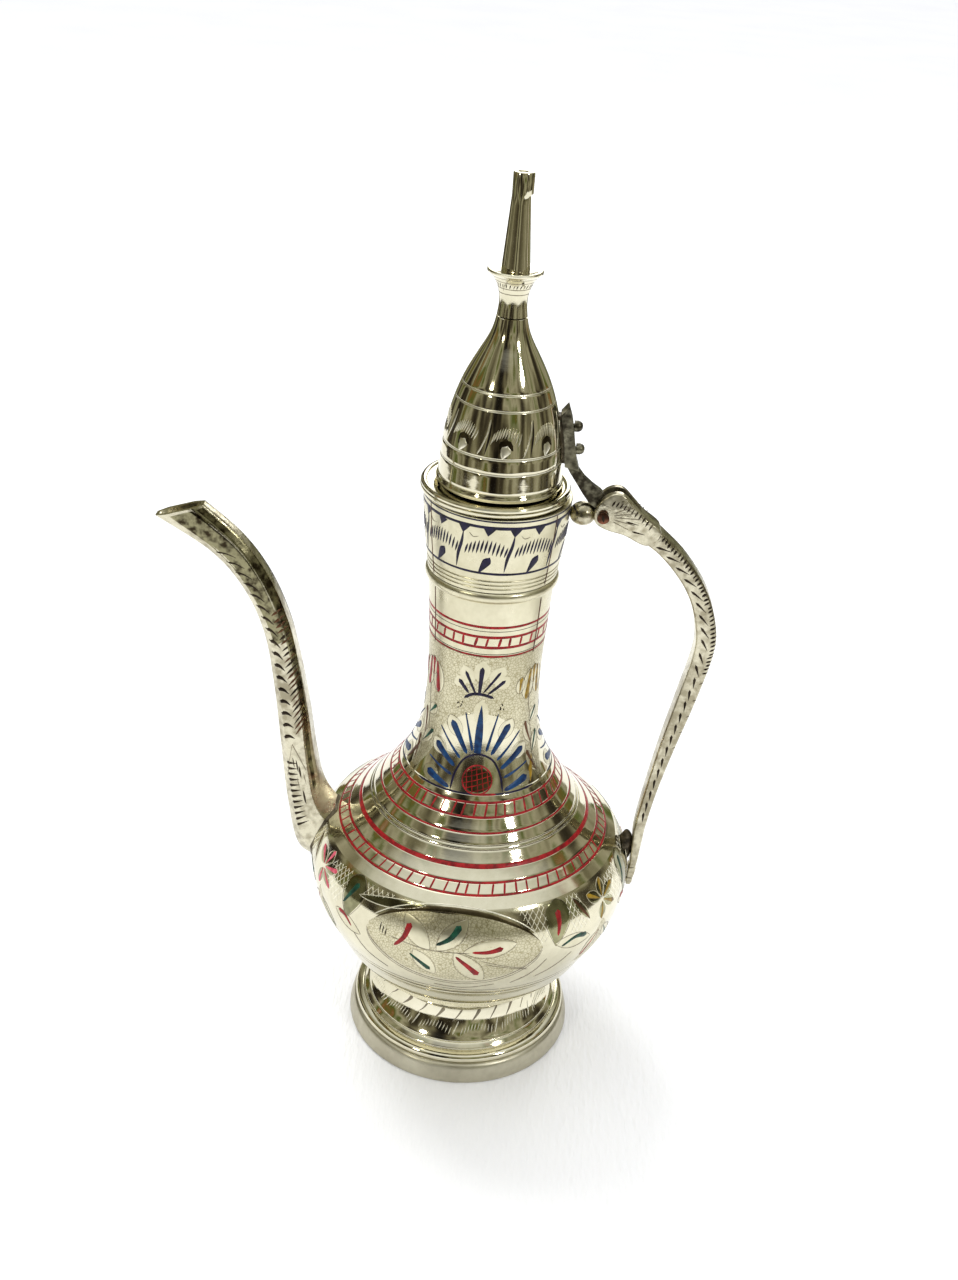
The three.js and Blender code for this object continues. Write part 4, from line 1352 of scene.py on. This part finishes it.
def make_sprig(sets, centre, flower, leaf):
    """A flower with drooping petals at the top, over a stem with paired leaves."""
    ground = heights(pot_skin, [(centre, SUN_BASE_Z + 1), (centre, 90.0)])
    sets["stipple"].lay(pot_skin, ground, 13.0, lambda t: 0.15 + 0.85 * t, lift=0.015, across=20, power=16)
    stem = [(centre - 6, 94.0), (centre - 5, 90.0), (centre - 1, 86.0), (centre - 2, 80.5),
            (centre - 4, 75.0)]
    sets["grey_cut"].cut(pot_skin, stem, 0.22)
    for start, end, width in (((0.0, 99.2), (0.0, 94.8), 1.0), ((-18.5, 97.3), (-20.0, 93.4), 0.9)):
        ends = turned_to(centre, [start, end])
        petal(sets, pot_skin, ends[0], ends[1], width * 2.6, "soft", "grey_cut", oval_shape, 0.12)
        sets[flower].cut(pot_skin, ends, width * 1.5, chisel_shape, lift=0.1)
    for sign in (-1, 1):
        ends = turned_to(centre, [(sign * 6.1, 98.6), (sign * 7.6, 95.4), (sign * 9.9, 91.5)])
        petal(sets, pot_skin, ends[0], ends[2], 3.8, "soft", "grey_cut", oval_shape, 0.12)
        sets[flower].cut(pot_skin, ends, 1.9, club_shape, lift=0.1)
    for sign, low, high in ((1, 86.0, 88.4), (-1, 81.0, 86.2), (1, 79.2, 82.6), (-1, 75.0, 79.5)):
        root = (centre - 2.0, low - 0.5)
        tip = (centre + sign * 9.5, high)
        petal(sets, pot_skin, root, tip, 2.6, "soft", "grey_cut", leaf_shape, 0.12)
        sets[leaf if sign > 0 else "brown_cut"].cut(pot_skin, [tip, root], 1.2, chisel_shape, lift=0.1)
    sets["gold" if flower == "gold" else "brown_cut"].cut(
        pot_skin, turned_to(centre, [(-4.0, 78.2), (-12.5, 73.2)]), 1.3, leaf_shape)


def decorate_neck(looks):
    sets = Palette("neck", looks)
    for k in range(SUNS):
        make_sun(sets, SUN_CENTRE + THIRD * k)
        make_fan(sets, THIRD * k)
    for k, (flower, leaf) in enumerate((("gold", "green"), ("red", "green"), ("red", "green"))):
        make_sprig(sets, THIRD / 2 + THIRD * k, flower, leaf)
    red = sets["red"]
    red.ring(pot_skin, NECK_TOP_LINE_Z, 0.75)
    for z in NECK_LADDER:
        red.ring(pot_skin, z, 0.85)
    red.ring(pot_skin, NECK_LOW_LINE_Z, 0.45)
    ladder(red, *NECK_LADDER, 32, 0.35, 0.62)
    sets["dark_cut"].ring(pot_skin, NECK_TOP_LINE_Z - 0.95, 0.2)
    sets["dark_cut"].ring(pot_skin, NECK_LOW_LINE_Z + 0.5, 0.22)
    for azimuth in SEAM_AZIMUTHS:
        sets["brown_cut"].cut(pot_skin, [(azimuth, 102.5), (azimuth + 0.5, 109.0), (azimuth, 115.4)], 0.4)
    sets.finish()


BELLY_CENTRE = -3.5
CARTOUCHE_HALF = 31.5          # degrees
CARTOUCHE_Z = 46.2
CARTOUCHE_HEIGHT = 19.0        # mm along the skin
# Leaves in the cartouche: root, tip and width of the leaf; start, end and width of the enamel.
CARTOUCHE_LEAVES = [
    ((-7.5, 45.8), (-17.5, 52.4), 4.4, (-15.0, 50.9), (-20.0, 44.6), 1.7, "red"),
    ((-5.0, 46.2), (4.8, 53.2), 4.4, (2.4, 52.1), (-5.2, 47.5), 1.8, "green"),
    ((-13.0, 45.2), (-5.5, 39.0), 4.2, (-7.0, 40.2), (-14.2, 43.7), 1.6, "green"),
    ((1.0, 46.2), (11.5, 38.0), 5.0, (9.6, 40.0), (1.6, 45.2), 1.8, "red"),
    ((4.0, 46.5), (22.0, 48.4), 4.6, (17.3, 47.6), (7.0, 46.6), 1.6, "red"),
]


def make_cartouche(sets, centre):
    skin = pot_skin
    ends = [(centre - CARTOUCHE_HALF, CARTOUCHE_Z), (centre + CARTOUCHE_HALF, CARTOUCHE_Z)]
    path = heights(skin, ends)
    sets["stipple"].lay(skin, path, CARTOUCHE_HEIGHT, oval_shape, lift=0.02, across=28, power=14, step=0.7)
    upper, lower = outline_of(skin, path, CARTOUCHE_HEIGHT, oval_shape, 40)
    sets["umber"].lay(skin, [(u, v - 0.3) for u, v in upper[2:-1]], 1.3, leaf_shape, lift=0.05, across=6)
    sets["pale_cut"].lay(skin, [(u, v + 0.75) for u, v in upper[1:-1]], 0.3, line_shape, lift=0.05)
    for drop, finish, width in ((0.0, "grey_cut", 0.3), (0.8, "grey_cut", 0.18)):
        sets[finish].lay(skin, [(u, v - drop) for u, v in lower], width, line_shape, lift=0.04)
    # A polished leaf whose dark olive colour is painted reflection.
    petal(sets, skin, (centre - 37.5, 51.6), (centre - 11.0, 54.5), 2.0, "olive", "pale_cut", leaf_shape, 0.2)
    for root, tip, width, start, end, thick, colour in CARTOUCHE_LEAVES:
        petal(sets, skin, *turned_to(centre, [root, tip]), width, "soft", "grey_cut")
        bend = ((start[0] + end[0]) / 2 + 0.8, (start[1] + end[1]) / 2 - 0.35)
        stroke = heights(skin, turned_to(centre, [start, bend, end]))
        sets[colour].lay(skin, stroke, thick, stroke_shape, lift=0.1)
    sets["grey_cut"].cut(skin, turned_to(centre, [(-22, 46.6), (-8, 46.0), (6, 46.4)]), 0.25, lift=0.06)
    for k in range(3):
        at = centre - 25.5 + k * 1.1
        sets["dark_cut"].cut(skin, [(at, 49.0 - k * 0.5), (at - 0.4, 46.6 - k * 0.3)], 0.4, leaf_shape,
                             lift=0.06)
    for line in ([(22.0, 36.0), (29.0, 38.6), (34.0, 42.2)], [(31.0, 36.6), (38.0, 38.4), (45.0, 41.2)],
                 [(-24.0, 36.0), (-33.0, 38.6), (-38.0, 42.0)], [(-6.0, 34.8), (4.0, 34.6), (16.0, 36.2)]):
        sets["grey_cut"].cut(skin, turned_to(centre, line), 0.3, lift=0.05)
    for k in range(2):
        u = centre + 19.0 + 1.6 * k
        sets["grey_cut"].cut(skin, [(u - 9, 44.4 - k), (u + 6.5, 41.0 - k * 0.6)], 0.22, lift=0.05)


def make_belly_sides(sets, centre):
    """The polished petals, their dark olive a painted reflection, coloured cuts and criss-cross corners
    beside one cartouche.
    """
    skin = pot_skin
    petal(sets, skin, (centre - 41.5, 44.6), (centre - 39.0, 54.9), 6.2, "olive", "grey_cut", top_heavy_shape,
          0.14)
    petal(sets, skin, (centre + 36.8, 45.2), (centre + 38.8, 54.9), 6.6, "olive", "grey_cut", top_heavy_shape,
          0.14)
    petal(sets, skin, (centre - 47.5, 45.2), (centre - 34.5, 42.6), 3.8, "soft", "grey_cut")
    petal(sets, skin, (centre + 53.0, 43.4), (centre + 36.5, 46.0), 3.8, "soft", "grey_cut")
    for path, width, colour in (
        ([(-39.2, 53.3), (-41.2, 50.8), (-43.4, 48.2)], 1.5, "green"),
        ([(-45.6, 45.4), (-42.0, 45.2), (-38.8, 43.4)], 1.5, "red"),
        ([(38.4, 53.0), (38.3, 50.6), (37.4, 47.9)], 1.7, "red"),
        ([(50.8, 44.6), (45.5, 45.6), (39.3, 44.6)], 1.6, "green"),
    ):
        sets[colour].cut(skin, turned_to(centre, path), width, stroke_shape, lift=0.1)
    for corners in (
        [(-36.3, 54.5), (-20.0, 54.6), (-28.0, 53.0), (-35.8, 51.0)],
        [(-56.0, 53.6), (-44.5, 54.4), (-44.0, 49.5), (-47.0, 46.2), (-55.0, 47.0)],
        [(22.5, 54.6), (33.3, 54.6), (34.0, 48.5), (31.5, 46.8), (27.0, 50.5)],
        [(42.6, 54.5), (48.5, 54.6), (52.5, 47.2), (43.0, 46.4)],
    ):
        net(sets["pale_cut"], skin, turned_to(centre, corners))


def make_belly_flower(sets, centre, colour):
    """An open flower between two cartouches, over a stippled point."""
    skin = pot_skin
    sets["stipple"].cut(skin, [(centre, 34.8), (centre, 45.6)], 15.0,
                        lambda t: np.clip(1 - t, 0, 1) ** 0.8 * np.clip(t / 0.1, 0, 1) ** 0.5, lift=0.02,
                        across=22, power=12)
    heart = (centre, 50.4)
    v0, scale = float(skin.at(heart[1])), float(skin.across(skin.at(heart[1])))
    for angle in (78, 22, -38, -98, 142):
        reach = Vector((cos(radians(angle)), sin(radians(angle))))
        root = (centre + reach.x * 0.5 / scale, v0 + reach.y * 0.5)
        tip = (centre + reach.x * 5.6 / scale, v0 + reach.y * 4.7)
        # The petals' dark olive colour is painted reflection.
        sets["olive"].lay(skin, [root, tip], 2.7, leaf_shape, lift=0.03, across=6, power=6)
        for side in outline_of(skin, [root, tip], 2.7, leaf_shape, 12):
            sets["pale_cut"].lay(skin, side, 0.16, lift=0.05)
        sets[colour].lay(skin, [tip, root], 1.4, chisel_shape, lift=0.09)
    # A polished leaf whose dark olive colour is painted reflection.
    leaf = turned_to(centre, [(-14.0, 53.9), (-8.0, 48.2)])
    petal(sets, skin, *leaf, 2.0, "olive", "pale_cut")
    sets["brown_cut"].cut(skin, leaf, 1.0, leaf_shape, lift=0.07)
    for sign in (-1, 1):
        ends = turned_to(centre, [(sign * 8.5, 37.4), (sign * 1.5, 43.0)])
        petal(sets, skin, *ends, 3.2, "soft", "grey_cut")
        sets["green" if sign > 0 else "red"].cut(skin, ends, 1.1, chisel_shape, lift=0.08)


def decorate_belly(looks):
    sets = Palette("belly", looks)
    for k, colour in enumerate(("gold", "red", "rose")):
        make_cartouche(sets, BELLY_CENTRE + THIRD * k)
        make_belly_sides(sets, BELLY_CENTRE + THIRD * k)
        make_belly_flower(sets, BELLY_CENTRE + THIRD / 2 + THIRD * k, colour)
    for z in BELLY_GROOVES:
        sets["grey_cut"].ring(pot_skin, z, 0.26, lift=-0.06)
    sets.finish()


CUP_ARCHES = 9
CUP_FIRST_DIVIDER = -24.0
HATCHES = 11


def decorate_cup(looks):
    skin = cup_skin
    sets = Palette("cup", looks)
    navy = sets["navy"]
    period = 360.0 / CUP_ARCHES
    for z, width in ((CUP_LINES[0], 0.7), (CUP_LINES[1], 0.9), (CUP_EDGE_LINE_Z, 0.5)):
        navy.ring(skin, z, width)
    for k in range(CUP_ARCHES):
        left = CUP_FIRST_DIVIDER + period * k
        divider = [(left - 0.3, 131.5), (left - 1.6, 129.0), (left - 4.6, 126.2), (left - 6.4, 123.0)]
        navy.cut(skin, divider, 0.8, leaf_shape)
        for at in (left, left + period / 2):
            triangle = heights(skin, [(at, 132.6), (at - 1.0 + shaky(0.8), 130.9)])
            navy.lay(skin, triangle, 2.9, lambda t: np.clip(1 - t, 0, 1) ** 0.9, step=0.3)
        for i in range(HATCHES):
            share = i / (HATCHES - 1)
            at = left + 3.5 + share * (period - 8.5)
            arch = sin(pi * share) ** 0.8
            ends = [(at, 128.7 + 1.4 * arch), (at - 2.4, 126.3 + 0.7 * arch - shaky(0.2))]
            navy.cut(skin, ends, 0.52, leaf_shape)
        middle = left + period * 0.44
        navy.cut(skin, [(middle + 4.0, 126.3), (middle - 5.0, 122.4)], 2.1, drop_shape)
        sets["grey_cut"].cut(skin, [(left + 4.5, 131.2), (left + 7.5, 130.4), (left + 12.0, 130.7)], 0.16)
    for azimuth in SEAM_AZIMUTHS:
        sets["brown_cut"].cut(skin, [(azimuth, 118.4), (azimuth, 134.0)], 0.3)
    sets.finish()


LID_ARCHES = 8
LID_FIRST_DROP = 3.4


def decorate_lid(looks):
    skin = lid_skin
    sets = Palette("lid", looks, "lid", "bright_plate")
    period = 360.0 / LID_ARCHES
    for z in LID_GROOVES:
        sets["pale_cut"].ring(skin, z, 0.3, lift=-0.02)
    for k in range(LID_ARCHES):
        middle = LID_FIRST_DROP + period * k
        divider = turned_to(middle, [(-16.8, 152.6), (-19.0, 150.0), (-23.5, 147.4), (-27.0, 145.8)])
        sets["pale_cut"].cut(skin, divider, 0.34)
        shade = turned_to(middle, [(-15.5, 152.7), (-16.5, 149.5), (-19.5, 145.9)])
        sets["dark_cut"].cut(skin, shade, 0.55, leaf_shape, lift=0.03)
        for i in range(HATCHES):
            share = i / (HATCHES - 1)
            at = middle - 13.0 + share * 27.0
            top = 150.4 + 1.2 * sin(pi * share) ** 0.8
            ends = [(at + 2.2, top), (at - 1.6, top - 2.3 - shaky(0.2))]
            sets["pale_cut"].cut(skin, ends, 0.38, leaf_shape)
        behind = turned_to(middle, [(-5.5, 146.6), (0.5, 148.4), (8.0, 147.2)])
        sets["umber"].cut(skin, behind, 2.3, leaf_shape, lift=0.03, across=6)
        sets["pale_cut"].cut(skin, turned_to(middle, [(2.2, 148.1), (-2.4, 145.5)]), 2.8, drop_shape,
                             lift=0.07, across=4)
    sets.finish()


def decorate_collar(looks):
    """Rings and small nicks under the flared rim of the finial."""
    sets = Palette("collar", looks, "lid", "bright_plate")
    for z in (174.3, 175.3, 176.6, 177.4):
        sets["grey_cut"].ring(collar_skin, z, 0.26, lift=0.02)
    for k in range(30):
        at = 12.0 * k + shaky(2.0)
        ends = heights(collar_skin, [(at, 176.3), (at - 4.0, 175.5)])
        sets["dark_cut" if k % 3 else "grey_cut"].lay(collar_skin, ends, 0.3, leaf_shape, lift=0.03, step=0.2)
    sets.finish()


FOOT_DROPS = 28
FOOT_GROUPS = 13


def decorate_foot(looks):
    skin = foot_skin
    sets = Palette("foot", looks, slot="bright_plate")
    for k in range(FOOT_DROPS):
        at = 360.0 * k / FOOT_DROPS
        ends = [(at + 3.8, 15.0), (at + 1.2, 13.6 + shaky(0.2)), (at - 2.8, 12.0)]
        sets["grey_cut"].cut(skin, ends, 1.1 if k % 2 else 0.6, chisel_shape)
    for k in range(FOOT_GROUPS):
        left = 360.0 * k / FOOT_GROUPS
        sets["pale_cut"].cut(skin, [(left + 1.5, 12.2), (left - 2.0, 9.4)], 0.34, line_shape)
        for i in range(10):
            share = i / 9
            at = left + 3.5 + share * 20.0
            top = 10.9 + 0.9 * sin(pi * share)
            ends = [(at + 1.0, top), (at - 0.4, top - 1.5)]
            sets["pale_cut"].cut(skin, ends, 0.26, leaf_shape)
    sets.finish()


def decorate_spout(looks):
    """Leaf-shaped nicks up the side, short bars beside them, a herringbone leaf at the root, and dark patches
    of painted reflection near the tip and along the chamfers.
    """
    bar = spout_bar
    sets = Palette("spout", looks, slot="cast_plate")
    whole = bar.length[-1]
    for mirrored in (False, True):
        # Painted reflection: a dark patch on the face near the tip and a dark strip along the chamfer, for
        # the dim room these facets mirror.
        face = [(0.05, whole * 0.60), (0.05, whole * 0.8), (0.0, whole - 0.7)]
        sets["bronze"].lay(bar, face, 5.2, lambda t: 0.5 + 0.5 * t, lift=0.03, across=12, power=12,
                           mirrored=mirrored)
        chamfer = [(0.77, whole * 0.14), (0.77, whole * 0.5), (0.77, whole - 0.7)]
        sets["bronze"].lay(bar, chamfer, 1.5, lambda t: 0.9 + 0.1 * t, lift=0.03, across=6, power=12,
                           mirrored=mirrored)
        v = whole * 0.36
        while v < whole * 0.86:
            taper = 1 - 0.35 * max(v / whole - 0.6, 0) / 0.24
            ends = [(-0.64, v + 1.2), (-0.30, v + 0.2), (0.04, v - 1.7)]
            sets["dark_cut"].lay(bar, ends, 1.0 * taper, chisel_shape, lift=0.1, mirrored=mirrored)
            for k in range(2 if v < whole * 0.68 else 0):
                level = v - 1.1 + 1.35 * k + shaky(0.15)
                sets["brown_cut" if hand.random() < 0.55 else "dark_cut"].lay(
                    bar, [(0.10, level), (0.5, level + 0.25), (0.92, level + 0.3)], 0.75 + shaky(0.15),
                    leaf_shape,
                    lift=0.1, mirrored=mirrored)
            v += 2.75
        apex = whole * 0.335
        foot = whole * 0.115
        for k in range(12):
            level = apex - 3.8 - k * (apex - foot - 4.5) / 11
            left = -0.66 + 0.05 * k / 11
            sets["dark_cut"].lay(bar, [(left, level + 1.5), (left + 0.62, level - 1.6)], 0.7, chisel_shape,
                                 mirrored=mirrored)
        sets["grey_cut"].lay(bar, [(-0.18, apex), (-0.5, apex - 3.2), (-0.72, apex - 5.5)], 0.3,
                             mirrored=mirrored)
        sets["grey_cut"].lay(bar, [(-0.18, apex), (0.12, apex - 4.0), (0.5, apex - 10.0)], 0.3,
                             mirrored=mirrored)
        for share, start, run, width in ((-0.25, 3.0, 2.6, 0.5), (-0.05, 4.4, 3.4, 0.6),
                                         (0.08, 6.6, 3.4, 0.8),
                                         (0.1, 13.0, 4.0, 0.9), (-0.12, 8.5, 3.0, 0.4), (0.3, 9.5, 3.6, 0.4)):
            sets["dark_cut" if width > 0.45 else "grey_cut"].lay(
                bar, [(share, apex - start), (share + 0.06, apex - start - run)], width, leaf_shape,
                mirrored=mirrored)
        for k in range(9):
            level = apex - 3.0 + k * 1.5
            sets["brown_cut"].lay(bar, [(0.62, level - 0.4), (0.9, level + 0.2)], 0.4, leaf_shape,
                                  mirrored=mirrored)
    sets.finish()


def decorate_handle(looks):
    """Slanting nicks down the middle of each side, and fine notches along the outer edge."""
    bar = handle_bar
    sets = Palette("handle", looks, slot="cast_plate")
    whole = bar.length[-1]
    for mirrored in (False, True):
        v = 8.0
        while v < whole - 18.0:
            bent = v < whole * 0.42
            ends = [(0.5, v), (0.2, v + 1.2), (-0.25, v + 3.0)] if bent else [(0.12, v), (-0.02, v + 1.1),
                                                                              (-0.16, v + 2.7)]
            sets["dark_cut"].lay(bar, ends, 0.72 if bent else 0.8, chisel_shape, mirrored=mirrored)
            v += 3.1 + shaky(0.25)
        v = 6.0
        while v < whole * 0.42:
            deep = -0.32 if v < whole * 0.25 else -0.42
            wide = 0.62 + shaky(0.16)
            sets["dark_cut"].lay(bar, [(-0.97, v + shaky(0.15)), (deep + shaky(0.1), v + 0.35)], wide,
                                 leaf_shape,
                                 mirrored=mirrored)
            v += 0.95 + shaky(0.12)
        for k in range(5):
            level = whole * 0.44 + k * 4.2
            sets["grey_cut"].lay(bar, [(-0.95, level), (-0.6, level + 0.3)], 0.35, leaf_shape,
                                 mirrored=mirrored)
    sets.finish()


def decorate_head(looks):
    """Lines that fan out from the hinge pin on each cheek, and a row of notches over them."""
    sets = Palette("hinge_cheek", looks, slot="cast_plate")
    cheek = Cheek(HEAD_HALF_WIDTH)
    for mirrored in (False, True):
        for angle, reach in ((-24, 6.0), (-12, 6.6), (0, 7.4), (11, 7.0), (24, 6.0)):
            out = (cos(radians(angle)), sin(radians(angle)))
            ends = [(PIVOT[0] + out[0] * s, PIVOT[1] + out[1] * s) for s in (2.2, reach)]
            sets["grey_cut"].lay(cheek, ends, 0.24, line_shape, mirrored=mirrored)
        sets["dark_cut"].lay(Cheek(PIN_END - 0.03),
                             [(PIVOT[0] - 0.2, PIVOT[1] + 0.8), (PIVOT[0] + 0.2, PIVOT[1] - 0.8)],
                             0.8, leaf_shape, mirrored=mirrored)
        for k in range(11):
            share = k / 10
            x = 22.6 + 7.8 * share
            top = 135.2 - 1.2 * share - 3.3 * share ** 2
            sets["dark_cut"].lay(cheek, [(x + 0.5, top), (x - 0.1, top - 1.25)], 0.42 + shaky(0.1),
                                 leaf_shape,
                                 mirrored=mirrored)
        for x, z in ((25.6, 130.9), (27.0, 128.9)):
            sets["dark_cut"].lay(cheek, [(x, z), (x + 2.6, z - 0.5)], 0.55, chisel_shape, mirrored=mirrored)
    sets.finish()


class Cheek:
    """The flat side of the handle's head. Its places are (x, z) in mm."""

    def __init__(self, half_width):
        self.half_width = half_width

    def across(self, v):
        return np.ones_like(np.asarray(v, float))

    def place(self, x, z, lift):
        return np.stack([x, -self.half_width - lift, z], axis=-1)


# ---- the whole pot --------------------------------------------------------------------------
make_camera()
make_floor()
make_world()
make_lights()
looks = make_looks()
make_foot(looks)
make_body(looks)
make_neck_bead(looks)
make_mouth(looks)
make_lid(looks)
make_finial(looks)
make_spout(looks)
make_spout_braze(looks)
make_handle(looks)
make_tail_ridges(looks)
make_hinge(looks)
make_arm_solder_and_painted_shade(looks)
make_handle_braze_and_painted_shade(looks)
paint_band(bpy.data.objects["spun_neck"], looks["stipple"], 85.0, NECK_LOW_LINE_Z)
decorate_foot(looks)
decorate_belly(looks)
decorate_shoulder(looks)
decorate_neck(looks)
decorate_cup(looks)
decorate_lid(looks)
decorate_collar(looks)
decorate_spout(looks)
decorate_handle(looks)
decorate_head(looks)

bpy.context.scene.view_settings.view_transform = "Standard"
